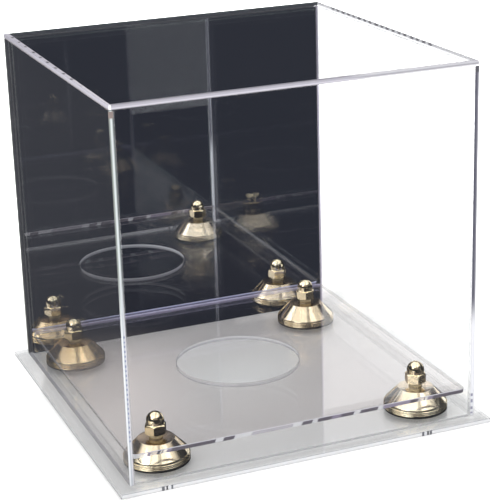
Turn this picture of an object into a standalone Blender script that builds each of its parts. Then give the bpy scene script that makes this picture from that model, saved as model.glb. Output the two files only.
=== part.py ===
"""Clear display case with a mirrored back, at its real size.

A five-panel cover lifts straight off a flat base plate. Four brass risers stand on the base plate and
carry a clear platform with a round seat cut through it. A screw at each corner runs up through the
plate, a rubber ring, the riser and the platform into a domed cap nut.

Lengths are in metres. +Z is up, +Y is towards the mirror, and the origin is the centre of the base
plate's underside.
"""

from math import cos, pi, radians, sin, sqrt, tan

import bmesh
import bpy
from mathutils import Vector

# Clearances
SEAT_GAP = 0.0003
SCREW_CLEARANCE = 0.0004
CUT_OVERRUN = 0.001
WELD_DISTANCE = 0.00001

# Cover, over its outside faces
COVER_WIDTH = 0.249
COVER_DEPTH = 0.249
COVER_HEIGHT = 0.2482
PANEL_THICKNESS = 0.003
MIRROR_THICKNESS = 0.003

# Base plate, which stands out from the cover by the same margin all round
BASE_MARGIN = 0.0085
BASE_THICKNESS = 0.003
EDGE_BREAK = 0.0003

# Platform, which fits inside the cover with a small clearance
PLATFORM_SIDE_CLEARANCE = 0.0005
PLATFORM_END_CLEARANCE = 0.0025
PLATFORM_THICKNESS = 0.003
PLATFORM_CORNER_RADIUS = 0.0045
SEAT_RADIUS = 0.04445
CORNER_INSET = 0.0255

# Rubber ring under each riser
RING_THICKNESS = 0.001
RING_WIDTH = 0.005

# Riser: a hollow cone on a grooved rim
RISER_RADIUS = 0.0222
RISER_HEIGHT = 0.0141
RISER_TOP_RADIUS = 0.0125
RISER_WALL = 0.0015
RIM_HEIGHT = 0.0033
RIM_STEP = 0.0004
GROOVE_COUNT = 2
GROOVE_WIDTH = 0.0004
GROOVE_DEPTH = 0.0003
SHOULDER_RISE = 0.001
SHOULDER_RADIUS = 0.0023

# Countersunk screw
SCREW_RADIUS = 0.00395
SCREW_HEAD_RADIUS = 0.0062
SCREW_HEAD_LAND = 0.0003
SCREW_HEAD_INSET = 0.0002
SCREW_TIP_CHAMFER = 0.0008
SCREW_ENGAGEMENT = 0.0098

# Domed cap nut
NUT_ACROSS_FLATS = 0.013
NUT_HEIGHT = 0.015
NUT_HEX_HEIGHT = 0.0065
NUT_DOME_RADIUS = 0.006
NUT_LEDGE = 0.0002
NUT_CHAMFER_ANGLE = radians(30)
BORE_TIP_CLEARANCE = 0.0008
BORE_TIP_RISE = 0.0012

# How far each nut is turned from the place where one flat faces +X
NUT_TURNS = {
    "front_left": radians(32.5),
    "front_right": radians(47.5),
    "back_left": radians(31.5),
    "back_right": radians(40),
}
CORNER_SIDES = {
    "front_left": (-1, -1),
    "front_right": (1, -1),
    "back_left": (-1, 1),
    "back_right": (1, 1),
}

# Facets round each turned or cut circle
RISER_STEPS = 36
NUT_STEPS = 24
SCREW_STEPS = 24
SEAT_STEPS = 72
CORNER_STEPS = 6
DOME_STEPS = 6
SHOULDER_STEPS = 4
HEX_SIDES = 6
SMOOTH_ANGLE = radians(30)
BREAK_ANGLE = radians(60)

# The most that a rounded corner takes of each side beside it
ROUNDING_SHARE = 0.9

# Heights, from the table up
RING_BOTTOM = BASE_THICKNESS + SEAT_GAP
RISER_BOTTOM = RING_BOTTOM + RING_THICKNESS + SEAT_GAP
PLATFORM_BOTTOM = RISER_BOTTOM + RISER_HEIGHT + SEAT_GAP
NUT_BOTTOM = PLATFORM_BOTTOM + PLATFORM_THICKNESS + SEAT_GAP
COVER_BOTTOM = BASE_THICKNESS + SEAT_GAP
COVER_TOP = COVER_BOTTOM + COVER_HEIGHT
WALL_TOP = COVER_TOP - PANEL_THICKNESS - SEAT_GAP

# Half the angle between two edges of the turned nut
NUT_HALF_FACET = pi / NUT_STEPS

# The cover's inside faces, and the platform between them
INSIDE_X = COVER_WIDTH / 2 - PANEL_THICKNESS
INSIDE_FRONT = PANEL_THICKNESS - COVER_DEPTH / 2
INSIDE_BACK = COVER_DEPTH / 2 - MIRROR_THICKNESS
PLATFORM_WIDTH = 2 * (INSIDE_X - PLATFORM_SIDE_CLEARANCE)
PLATFORM_DEPTH = INSIDE_BACK - INSIDE_FRONT - 2 * PLATFORM_END_CLEARANCE
PLATFORM_CENTRE_Y = (INSIDE_FRONT + INSIDE_BACK) / 2

# Each corner's screw axis, measured from the platform's centre
CORNER_X = PLATFORM_WIDTH / 2 - CORNER_INSET
CORNER_Y = PLATFORM_DEPTH / 2 - CORNER_INSET

# Holes for the screw
HOLE_RADIUS = SCREW_RADIUS + SCREW_CLEARANCE
SINK_RADIUS = SCREW_HEAD_RADIUS + SCREW_HEAD_INSET + SCREW_HEAD_LAND + SEAT_GAP * sqrt(2)
SINK_DEPTH = SINK_RADIUS - HOLE_RADIUS


def clear_objects():
    for obj in list(bpy.data.objects):
        bpy.data.objects.remove(obj, do_unlink=True)


def new_collection(name):
    collection = bpy.data.collections.new(name)
    bpy.context.scene.collection.children.link(collection)
    return collection


def new_material(name, colour, metallic, roughness, transmission=0.0):
    material = bpy.data.materials.new(name)
    material.use_nodes = True
    material.diffuse_color = (*colour, 1.0)
    shader = material.node_tree.nodes["Principled BSDF"]
    shader.inputs["Base Color"].default_value = (*colour, 1.0)
    shader.inputs["Metallic"].default_value = metallic
    shader.inputs["Roughness"].default_value = roughness
    shader.inputs["Transmission Weight"].default_value = transmission
    return material


def new_empty(name, location, collection, parent=None):
    empty = bpy.data.objects.new(name, None)
    empty.location = location
    empty.parent = parent
    collection.objects.link(empty)
    return empty


def new_object(name, data, location, collection, parent=None, material=None, turn=0.0):
    obj = bpy.data.objects.new(name, data)
    obj.location = location
    obj.rotation_euler = (0, 0, turn)
    obj.parent = parent
    collection.objects.link(obj)
    if material and not data.materials:
        data.materials.append(material)
    return obj


def new_cutter(name, mesh, location, collection, parent=None, turn=0.0):
    cutter = new_object(name, mesh, location, collection, parent, turn=turn)
    cutter.hide_render = True
    cutter.display_type = "WIRE"
    return cutter


def add_boolean(obj, cutter, operation):
    modifier = obj.modifiers.new(cutter.name, "BOOLEAN")
    modifier.operation = operation
    modifier.solver = "EXACT"
    modifier.object = cutter
    return modifier


def add_edge_break(obj):
    modifier = obj.modifiers.new("edge_break", "BEVEL")
    modifier.width = EDGE_BREAK
    modifier.segments = 1
    modifier.limit_method = "ANGLE"
    modifier.angle_limit = BREAK_ANGLE
    return modifier


def finished_mesh(obj):
    """Evaluate an object's modifiers into a smooth-shaded mesh, and remove the object."""
    bpy.context.view_layer.update()
    evaluated = obj.evaluated_get(bpy.context.evaluated_depsgraph_get())
    mesh = bpy.data.meshes.new_from_object(evaluated)
    mesh.name = obj.name
    mesh.shade_smooth()
    mesh.set_sharp_from_angle(angle=SMOOTH_ANGLE)
    bpy.data.objects.remove(obj, do_unlink=True)
    return mesh


def box_mesh(name, size):
    """A box of the given size, centred on its origin."""
    cage = bmesh.new()
    bmesh.ops.create_cube(cage, size=1.0)
    bmesh.ops.scale(cage, vec=Vector(size), verts=cage.verts)
    mesh = bpy.data.meshes.new(name)
    cage.to_mesh(mesh)
    cage.free()
    return mesh


def prism_mesh(name, sides, radius, bottom, top):
    """An upright prism with regular sides, from one height to another."""
    cage = bmesh.new()
    bmesh.ops.create_cone(
        cage, cap_ends=True, segments=sides, radius1=radius, radius2=radius, depth=top - bottom
    )
    bmesh.ops.translate(cage, vec=Vector((0, 0, (top + bottom) / 2)), verts=cage.verts)
    mesh = bpy.data.meshes.new(name)
    cage.to_mesh(mesh)
    cage.free()
    return mesh


def turned_mesh(name, profile, steps, collection, is_loop=False):
    """Turn a profile of (radius, height) points about Z, from the top down its outer side."""
    mesh = bpy.data.meshes.new(name)
    links = [(index, index + 1) for index in range(len(profile) - 1)]
    if is_loop:
        links.append((len(profile) - 1, 0))
    mesh.from_pydata([(radius, 0, height) for radius, height in profile], links, [])
    guide = new_object(name, mesh, (0, 0, 0), collection)
    screw = guide.modifiers.new("turn", "SCREW")
    screw.axis = "Z"
    screw.angle = 2 * pi
    screw.steps = steps
    screw.render_steps = steps
    screw.use_merge_vertices = True
    screw.merge_threshold = WELD_DISTANCE
    return finished_mesh(guide)


def rounded_corner(before, corner, after, radius, steps):
    """Points of an arc that rounds a profile's corner, held back where its sides are short."""
    before, corner, after = Vector(before), Vector(corner), Vector(after)
    to_before = (before - corner).normalized()
    to_after = (after - corner).normalized()
    half_angle = to_before.angle(to_after) / 2
    longest = ROUNDING_SHARE * min((before - corner).length, (after - corner).length)
    reach = min(radius / tan(half_angle), longest)
    radius = reach * tan(half_angle)
    centre = corner + (to_before + to_after).normalized() * (radius / sin(half_angle))
    start = corner + to_before * reach - centre
    sweep = start.angle_signed(corner + to_after * reach - centre)
    points = []
    for step in range(steps + 1):
        angle = -sweep * step / steps
        across = start.x * cos(angle) - start.y * sin(angle)
        along = start.x * sin(angle) + start.y * cos(angle)
        points.append((centre.x + across, centre.y + along))
    return points


def circle_points(centre_x, centre_y, radius, steps):
    angles = [2 * pi * step / steps for step in range(steps)]
    return [(centre_x + radius * cos(angle), centre_y + radius * sin(angle)) for angle in angles]


def rounded_rectangle_points(width, depth, radius, steps):
    points = []
    for quarter, (side_x, side_y) in enumerate(((1, 1), (-1, 1), (-1, -1), (1, -1))):
        for step in range(steps + 1):
            angle = pi / 2 * (quarter + step / steps)
            x = side_x * (width / 2 - radius) + radius * cos(angle)
            y = side_y * (depth / 2 - radius) + radius * sin(angle)
            points.append((x, y))
    return points


def flat_outline(name, outlines, thickness):
    """A filled flat curve of one outer outline and the holes inside it."""
    curve = bpy.data.curves.new(name, "CURVE")
    curve.dimensions = "2D"
    curve.fill_mode = "BOTH"
    curve.extrude = thickness / 2
    for outline in outlines:
        spline = curve.splines.new("POLY")
        spline.points.add(len(outline) - 1)
        for point, (x, y) in zip(spline.points, outline):
            point.co = (x, y, 0, 1)
        spline.use_cyclic_u = True
    return curve


def add_panel(name, low, high, material, collection, parent):
    """A flat panel between two opposite corners, given in the parent's frame."""
    low, high = Vector(low), Vector(high)
    mesh = box_mesh(name, high - low)
    return new_object(name, mesh, (low + high) / 2, collection, parent, material)


def add_base_plate(collection, cutters, parent, corners):
    width = COVER_WIDTH + 2 * BASE_MARGIN
    depth = COVER_DEPTH + 2 * BASE_MARGIN
    acrylic = new_material("base_acrylic", (0.93, 0.94, 0.94), 0.0, 0.03, 0.9)
    plate = add_panel(
        "base_plate",
        (-width / 2, -depth / 2, 0),
        (width / 2, depth / 2, BASE_THICKNESS),
        acrylic,
        collection,
        parent,
    )
    add_edge_break(plate)
    profile = [
        (0, BASE_THICKNESS + CUT_OVERRUN),
        (HOLE_RADIUS, BASE_THICKNESS + CUT_OVERRUN),
        (HOLE_RADIUS, SINK_DEPTH),
        (SINK_RADIUS + CUT_OVERRUN, -CUT_OVERRUN),
        (0, -CUT_OVERRUN),
    ]
    sink = turned_mesh("screw_sink", profile, SCREW_STEPS, cutters)
    for corner, frame in corners.items():
        cutter = new_cutter(f"screw_sink_{corner}", sink, (0, 0, 0), cutters, frame)
        add_boolean(plate, cutter, "DIFFERENCE")
    return plate


def add_platform(collection, parent):
    outlines = [
        rounded_rectangle_points(PLATFORM_WIDTH, PLATFORM_DEPTH, PLATFORM_CORNER_RADIUS, CORNER_STEPS),
        circle_points(0, 0, SEAT_RADIUS, SEAT_STEPS),
    ]
    for side_x, side_y in CORNER_SIDES.values():
        outlines.append(circle_points(side_x * CORNER_X, side_y * CORNER_Y, HOLE_RADIUS, SCREW_STEPS))
    outline = flat_outline("platform", outlines, PLATFORM_THICKNESS)
    acrylic = new_material("platform_acrylic", (0.92, 0.93, 0.95), 0.0, 0.02, 0.9)
    location = (0, PLATFORM_CENTRE_Y, PLATFORM_BOTTOM + PLATFORM_THICKNESS / 2)
    platform = new_object("platform", outline, location, collection, parent, acrylic)
    weld = platform.modifiers.new("weld", "WELD")
    weld.merge_threshold = WELD_DISTANCE
    add_edge_break(platform)
    return platform


def add_cover(collection, parent):
    """The five panels, in the frame of an empty at the middle of the cover's lower edge."""
    acrylic = new_material("cover_acrylic", (0.95, 0.96, 0.96), 0.0, 0.01, 0.95)
    mirror = new_material("mirror_acrylic", (0.85, 0.86, 0.88), 1.0, 0.02)
    half_x = COVER_WIDTH / 2
    half_y = COVER_DEPTH / 2
    wall_height = WALL_TOP - COVER_BOTTOM
    between_x = INSIDE_X - SEAT_GAP
    top_bottom = COVER_HEIGHT - PANEL_THICKNESS
    panels = {
        "cover_left": ((-half_x, -half_y, 0), (-INSIDE_X, half_y, wall_height), acrylic),
        "cover_right": ((INSIDE_X, -half_y, 0), (half_x, half_y, wall_height), acrylic),
        "cover_front": ((-between_x, -half_y, 0), (between_x, INSIDE_FRONT, wall_height), acrylic),
        "cover_top": ((-half_x, -half_y, top_bottom), (half_x, half_y, COVER_HEIGHT), acrylic),
        "mirror_back": ((-between_x, INSIDE_BACK, 0), (between_x, half_y, wall_height), mirror),
    }
    for name, (low, high, material) in panels.items():
        panel = add_panel(name, low, high, material, collection, parent)
        if name == "cover_top":
            add_edge_break(panel)


def ring_mesh(cutters):
    inner_radius = RISER_RADIUS - RING_WIDTH
    profile = [
        (RISER_RADIUS, RING_THICKNESS),
        (RISER_RADIUS, 0),
        (inner_radius, 0),
        (inner_radius, RING_THICKNESS),
    ]
    return turned_mesh("rubber_ring", profile, RISER_STEPS, cutters, is_loop=True)


def rim_points():
    """The rim's outer side from its top down, with its grooves evenly spaced."""
    points = [(RISER_RADIUS, RIM_HEIGHT)]
    pitch = RIM_HEIGHT / (GROOVE_COUNT + 1)
    for groove in range(GROOVE_COUNT, 0, -1):
        middle = groove * pitch
        points.append((RISER_RADIUS, middle + GROOVE_WIDTH / 2))
        points.append((RISER_RADIUS - GROOVE_DEPTH, middle))
        points.append((RISER_RADIUS, middle - GROOVE_WIDTH / 2))
    points.append((RISER_RADIUS, 0))
    return points


def riser_mesh(cutters):
    """A cone with a rounded shoulder on the rim, hollow to an even wall."""
    foot_radius = RISER_RADIUS - RIM_STEP
    top_edge = Vector((RISER_TOP_RADIUS, RISER_HEIGHT))
    shoulder = Vector((foot_radius, RIM_HEIGHT + SHOULDER_RISE))
    foot = Vector((foot_radius, RIM_HEIGHT))
    slope = (shoulder.x - top_edge.x) / (top_edge.y - shoulder.y)
    inset = RISER_WALL * sqrt(1 + slope * slope)
    ceiling = RISER_HEIGHT - RISER_WALL
    ceiling_radius = RISER_TOP_RADIUS + RISER_WALL * slope - inset
    cavity_radius = foot_radius + SHOULDER_RISE * slope - inset
    profile = [(HOLE_RADIUS, RISER_HEIGHT), tuple(top_edge)]
    profile += rounded_corner(top_edge, shoulder, foot, SHOULDER_RADIUS, SHOULDER_STEPS)
    profile.append(tuple(foot))
    profile += rim_points()
    profile += [
        (cavity_radius, 0),
        (cavity_radius, RIM_HEIGHT),
        (ceiling_radius, ceiling),
        (HOLE_RADIUS, ceiling),
    ]
    return turned_mesh("riser", profile, RISER_STEPS, cutters, is_loop=True)


def screw_mesh(cutters):
    head_top = SCREW_HEAD_LAND + SCREW_HEAD_RADIUS - SCREW_RADIUS
    tip = NUT_BOTTOM + SCREW_ENGAGEMENT - SCREW_HEAD_INSET
    profile = [
        (0, tip),
        (SCREW_RADIUS - SCREW_TIP_CHAMFER, tip),
        (SCREW_RADIUS, tip - SCREW_TIP_CHAMFER),
        (SCREW_RADIUS, head_top),
        (SCREW_HEAD_RADIUS, SCREW_HEAD_LAND),
        (SCREW_HEAD_RADIUS, 0),
        (0, 0),
    ]
    return turned_mesh("screw", profile, SCREW_STEPS, cutters)


def nut_mesh(cutters):
    """A turned blank with a hemispherical dome, cut to a hexagon and bored from below.

    The hexagon is turned by half a facet, so that its corners fall between the edges of the blank.
    """
    corner_radius = NUT_ACROSS_FLATS / sqrt(3)
    face_radius = NUT_DOME_RADIUS + NUT_LEDGE
    blank_radius = corner_radius + CUT_OVERRUN
    chamfer = (blank_radius - face_radius) * tan(NUT_CHAMFER_ANGLE)
    dome_base = NUT_HEIGHT - NUT_DOME_RADIUS
    profile = [(0, NUT_HEIGHT)]
    for step in range(1, DOME_STEPS + 1):
        angle = pi / 2 * (1 - step / DOME_STEPS)
        profile.append((NUT_DOME_RADIUS * cos(angle), dome_base + NUT_DOME_RADIUS * sin(angle)))
    profile += [
        (NUT_DOME_RADIUS, NUT_HEX_HEIGHT),
        (face_radius, NUT_HEX_HEIGHT),
        (blank_radius, NUT_HEX_HEIGHT - chamfer),
        (blank_radius, chamfer),
        (face_radius, 0),
        (0, 0),
    ]
    turned = turned_mesh("nut_blank", profile, NUT_STEPS, cutters)
    blank = new_object("cap_nut", turned, (0, 0, 0), cutters)

    prism = prism_mesh("nut_hexagon", HEX_SIDES, corner_radius, -CUT_OVERRUN, NUT_HEIGHT + CUT_OVERRUN)
    hexagon = new_cutter("nut_hexagon", prism, (0, 0, 0), cutters, turn=NUT_HALF_FACET)
    add_boolean(blank, hexagon, "INTERSECT")

    bore_radius = SCREW_RADIUS + SEAT_GAP
    bore_depth = SCREW_ENGAGEMENT + BORE_TIP_CLEARANCE
    bore_profile = [
        (0, bore_depth + BORE_TIP_RISE),
        (bore_radius, bore_depth),
        (bore_radius, -CUT_OVERRUN),
        (0, -CUT_OVERRUN),
    ]
    bore_shape = turned_mesh("nut_bore", bore_profile, SCREW_STEPS, cutters)
    bore = new_cutter("nut_bore", bore_shape, (0, 0, 0), cutters)
    add_boolean(blank, bore, "DIFFERENCE")

    mesh = finished_mesh(blank)
    for cutter in (hexagon, bore):
        bpy.data.objects.remove(cutter, do_unlink=True)
    return mesh


def add_corner_hardware(collection, cutters, corners):
    """A ring, riser, screw and cap nut of each corner, stacked on its screw axis."""
    rubber = new_material("ring_rubber", (0.012, 0.012, 0.014), 0.0, 0.55)
    riser_brass = new_material("riser_brass", (0.78, 0.66, 0.42), 1.0, 0.12)
    nut_brass = new_material("nut_brass", (0.80, 0.70, 0.46), 1.0, 0.08)
    steel = new_material("screw_steel", (0.55, 0.56, 0.58), 1.0, 0.3)
    ring = ring_mesh(cutters)
    riser = riser_mesh(cutters)
    screw = screw_mesh(cutters)
    nut = nut_mesh(cutters)
    for corner, frame in corners.items():
        new_object(f"ring_{corner}", ring, (0, 0, RING_BOTTOM), collection, frame, rubber)
        new_object(f"riser_{corner}", riser, (0, 0, RISER_BOTTOM), collection, frame, riser_brass)
        new_object(f"screw_{corner}", screw, (0, 0, SCREW_HEAD_INSET), collection, frame, steel)
        turn = NUT_TURNS[corner] - NUT_HALF_FACET
        new_object(f"nut_{corner}", nut, (0, 0, NUT_BOTTOM), collection, frame, nut_brass, turn)


def main():
    clear_objects()
    parts = new_collection("display_case")
    cutters = new_collection("cutters")
    base_frame = new_empty("base_frame", (0, 0, 0), parts)
    cover_frame = new_empty("cover_frame", (0, 0, COVER_BOTTOM), parts)
    corners = {}
    for corner, (side_x, side_y) in CORNER_SIDES.items():
        location = (side_x * CORNER_X, PLATFORM_CENTRE_Y + side_y * CORNER_Y, 0)
        corners[corner] = new_empty(f"{corner}_frame", location, parts, base_frame)
    add_base_plate(parts, cutters, base_frame, corners)
    add_platform(parts, base_frame)
    add_corner_hardware(parts, cutters, corners)
    add_cover(parts, cover_frame)


main()
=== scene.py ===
"""Clear display case with a mirrored back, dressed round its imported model.

Each sheet, turned part and fastener is built at the model's own size and place, with rolled edges,
fine turning, threads and cement joints, and gets a finish made of shader nodes. Lengths are in metres,
+Z is up and +Y is towards the mirror.
"""

from math import atan2, cos, pi, radians, sin, sqrt, tan
from random import Random

import bmesh
import bpy
from bpy.props import FloatProperty, FloatVectorProperty, IntProperty, PointerProperty
from mathutils import Matrix, Vector


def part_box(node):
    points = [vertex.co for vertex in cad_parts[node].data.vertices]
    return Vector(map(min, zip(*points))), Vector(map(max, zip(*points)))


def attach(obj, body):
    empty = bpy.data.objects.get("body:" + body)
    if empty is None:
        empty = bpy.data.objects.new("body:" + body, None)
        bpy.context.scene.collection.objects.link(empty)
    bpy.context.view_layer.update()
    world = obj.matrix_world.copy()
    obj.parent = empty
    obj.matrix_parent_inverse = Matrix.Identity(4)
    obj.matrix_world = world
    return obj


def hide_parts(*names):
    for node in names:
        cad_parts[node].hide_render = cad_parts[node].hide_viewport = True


bl_info = {
    "name": "Clear Display Case",
    "version": (1, 0, 0),
    "blender": (4, 5, 0),
    "location": "3D View > Sidebar > Display Case",
    "description": "Builds a clear display case with a mirrored back and brass risers",
    "category": "Object",
}

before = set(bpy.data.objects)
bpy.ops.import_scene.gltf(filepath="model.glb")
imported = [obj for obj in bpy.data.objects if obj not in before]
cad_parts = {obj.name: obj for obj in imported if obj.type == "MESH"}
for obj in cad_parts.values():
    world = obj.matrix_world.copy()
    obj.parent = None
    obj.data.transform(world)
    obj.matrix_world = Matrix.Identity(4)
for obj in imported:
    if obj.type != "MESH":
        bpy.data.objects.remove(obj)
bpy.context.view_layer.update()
MM = 0.001
CORNERS = ("front_left", "front_right", "back_left", "back_right")
# The screws' shank, their holes with the clearance round it, and the countersinks at the base's underside
SHANK_RADIUS = 0.00395
HOLE_RADIUS = 0.00435
SINK_RADIUS = 0.00712
HOLE_STEPS = 48


def middle(node):
    """The middle of a node's box."""
    low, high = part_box(node)
    return (low + high) / 2


def tone(red, green, blue, light=1.0):
    """A screen colour, 0 to 255, as linear light, or as paint that shows so under brighter light."""
    channels = []
    for value in (red, green, blue):
        share = value / 255
        linear = share / 12.92 if share <= 0.04045 else ((share + 0.055) / 1.055) ** 2.4
        channels.append(linear / light)
    return tuple(channels)


# How much brighter than a sheet of white paper the studio makes an edge at a side, and one in front
SIDE_LIGHT = 1.35
FRONT_LIGHT = 1.1


def paint(stops, light):
    """Ramp stops, each a place and a screen colour's red, green and blue, as paint for an edge."""
    return [(place, tone(*colour, light)) for place, *colour in stops]


# ---------------------------------------------------------------- shader nodes


class Wire:
    """A shader socket that sums can be written with, such as 1 - mask."""

    def __init__(self, finish, socket):
        self.finish = finish
        self.socket = socket

    def __add__(self, other):
        return self.finish.math("ADD", self, other)

    __radd__ = __add__

    def __mul__(self, other):
        return self.finish.math("MULTIPLY", self, other)

    __rmul__ = __mul__

    def __sub__(self, other):
        return self.finish.math("SUBTRACT", self, other)

    def __rsub__(self, other):
        return self.finish.math("SUBTRACT", other, self)

    def __truediv__(self, other):
        return self.finish.math("DIVIDE", self, other)

    def __pow__(self, other):
        return self.finish.math("POWER", self, other)

    def __abs__(self):
        return self.finish.math("ABSOLUTE", self)


class Finish:
    """A node tree under construction, for a material or the studio's surroundings."""

    def __init__(self, owner):
        owner.use_nodes = True
        self.owner = owner
        self.tree = owner.node_tree
        self.tree.nodes.clear()

    def node(self, kind, settings=None, inputs=None, output=0):
        """Adds a node, gives it its settings and then its inputs, and returns one of its outputs."""
        made = self.tree.nodes.new("ShaderNode" + kind)
        for key, value in (settings or {}).items():
            if key == "stops":
                ramp = made.color_ramp
                while len(ramp.elements) < len(value):
                    ramp.elements.new(1.0)
                for element, (place, colour) in zip(ramp.elements, value):
                    element.position = place
                    element.color = (*colour, 1.0)
            elif key == "interpolation":
                made.color_ramp.interpolation = value
            else:
                setattr(made, key, value)
        for key, value in (inputs or {}).items():
            if isinstance(value, Wire):
                self.tree.links.new(value.socket, made.inputs[key])
            elif isinstance(value, tuple) and made.inputs[key].type == "RGBA":
                made.inputs[key].default_value = (*value[:3], 1.0)
            else:
                made.inputs[key].default_value = value
        return Wire(self, made.outputs[output])

    def math(self, operation, *values, clamp=False):
        settings = {"operation": operation, "use_clamp": clamp}
        return self.node("Math", settings, dict(enumerate(values)))

    def mix(self, share, first, second):
        """A blend of two colours."""
        settings = {"data_type": "RGBA"}
        return self.node("Mix", settings, {0: share, 6: first, 7: second}, 2)

    def fade(self, value, start, end):
        """0 before start and 1 after end, with a soft step between them."""
        settings = {"interpolation_type": "SMOOTHSTEP"}
        inputs = {"Value": value, "From Min": start, "From Max": end}
        return self.node("MapRange", settings, inputs)

    def band(self, value, start, end, soft):
        """1 between start and end, softly 0 outside."""
        return self.fade(value, start - soft, start) * (1 - self.fade(value, end, end + soft))

    def blotch(self, place, scale, detail=3.0):
        """Cloudy noise, about 0.5 on average."""
        inputs = {"Vector": place, "Scale": scale, "Detail": detail, "Roughness": 0.55}
        return self.node("TexNoise", {}, inputs)

    def point(self):
        """The point on the object."""
        return self.node("TexCoord", output="Object")

    def axes(self, vector):
        """The x, y and z of a point or a direction."""
        split = self.node("SeparateXYZ", inputs={0: vector}).socket.node
        return [Wire(self, part) for part in split.outputs]

    def stretched(self, place, scale):
        """The point with each axis scaled by itself, for noise that runs one way."""
        return self.node("VectorMath", {"operation": "MULTIPLY"}, {0: place, 1: scale})

    def blend(self, share, first, second):
        """A mix of two shaders."""
        return self.node("MixShader", inputs={0: share, 1: first, 2: second})

    def show(self, shader):
        self.node_output = self.tree.nodes.new("ShaderNodeOutputMaterial")
        self.tree.links.new(shader.socket, self.node_output.inputs["Surface"])
        return self.owner


def new_finish(name):
    return Finish(bpy.data.materials.new(name))


# -------------------------------------------------------------------- finishes


def edge_gloss(finish):
    """How much of the light a polished clear surface mirrors, more at a low angle."""
    facing = finish.node("LayerWeight", inputs={"Blend": 0.5}, output="Facing")
    return finish.math("MINIMUM", 0.04 + 0.96 * facing**5, 0.3)


def polished_sheet(finish, place, tint, haze):
    """Clear acrylic with a polished face, faint smears and fine rub marks."""
    smear = finish.blotch(finish.stretched(place, (18.0, 18.0, 11.0)), 1.0, 4.0)
    rub = finish.blotch(finish.stretched(place, (900.0, 60.0, 240.0)), 1.0, 2.0)
    roughness = haze * (0.4 + 1.2 * smear) + 0.006 * finish.fade(rub, 0.64, 0.74)
    clear = finish.node("BsdfTransparent", inputs={"Color": tint})
    gloss = finish.node(
        "BsdfAnisotropic", {"distribution": "GGX"}, {"Color": (1.0, 1.0, 1.0), "Roughness": roughness}
    )
    return finish.blend(edge_gloss(finish), clear, gloss)


def clear_finish(name, tint, haze):
    """The finish of a clear sheet's polished faces."""
    finish = new_finish(name)
    return finish.show(polished_sheet(finish, finish.point(), tint, haze))


def top_finish(name, tint, haze, low, dots):
    """The clear top, where the milky joints over the left and front panels show through its face, painted with light
    and shade.
    """
    finish = new_finish(name)
    place = finish.point()
    x, y = finish.axes(place)[:2]
    sheet = polished_sheet(finish, place, tint, haze)
    grain = finish.blotch(finish.stretched(place, (500.0, 90.0, 500.0)), 1.0, 4.0)
    inner = low.x + 0.0031 + 0.008 * y + 0.0006 * (grain - 0.5)
    left = 1 - finish.fade(x - inner, -0.0004, 0.0)
    front = 1 - finish.fade(y - low.y, 0.0020, 0.0027)
    dot = dashes(finish, y, *dots) * finish.band(x - inner, -0.0023, -0.0009, 0.0003)
    # The joints' tones are painted light and shade: lighter towards the front, with a cloudy grain, and along the
    # front joint darker left of about 30 mm from the middle. Dark dots mark the bubbles in the left joint.
    colour = finish.mix(finish.fade(y, -0.09, 0.02), tone(232, 229, 237), tone(213, 210, 221))
    colour = finish.mix(0.35 * grain, colour, tone(176, 171, 181))
    front_joint_painted_tone = finish.mix(finish.fade(x, 0.03, 0.045), tone(150, 148, 158), tone(206, 204, 211))
    colour = finish.mix(left, front_joint_painted_tone, colour)
    colour = finish.mix(dot, colour, tone(28, 28, 34))
    joint = finish.node("BsdfPrincipled", inputs={"Base Color": colour, "Roughness": 0.3, "IOR": 1.49})
    return finish.show(finish.blend(0.92 * finish.math("MAXIMUM", left, front), sheet, joint))


def dashes(finish, along, first, last, pitch, size):
    """1 at short places in a row, about a pitch apart, and 0 between them."""
    uneven = finish.blotch(finish.node("CombineXYZ", inputs={0: along}), 0.7 / pitch, 0.0)
    turns = (along - first) / pitch + 0.5 * (uneven - 0.5)
    off = abs(finish.math("FRACT", turns + 0.5) - 0.5)
    half = size / pitch / 2
    near = 1 - finish.fade(off, 0.8 * half, 1.2 * half)
    return near * finish.band(along, min(first, last) - size, max(first, last) + size, size / 4)


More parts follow.
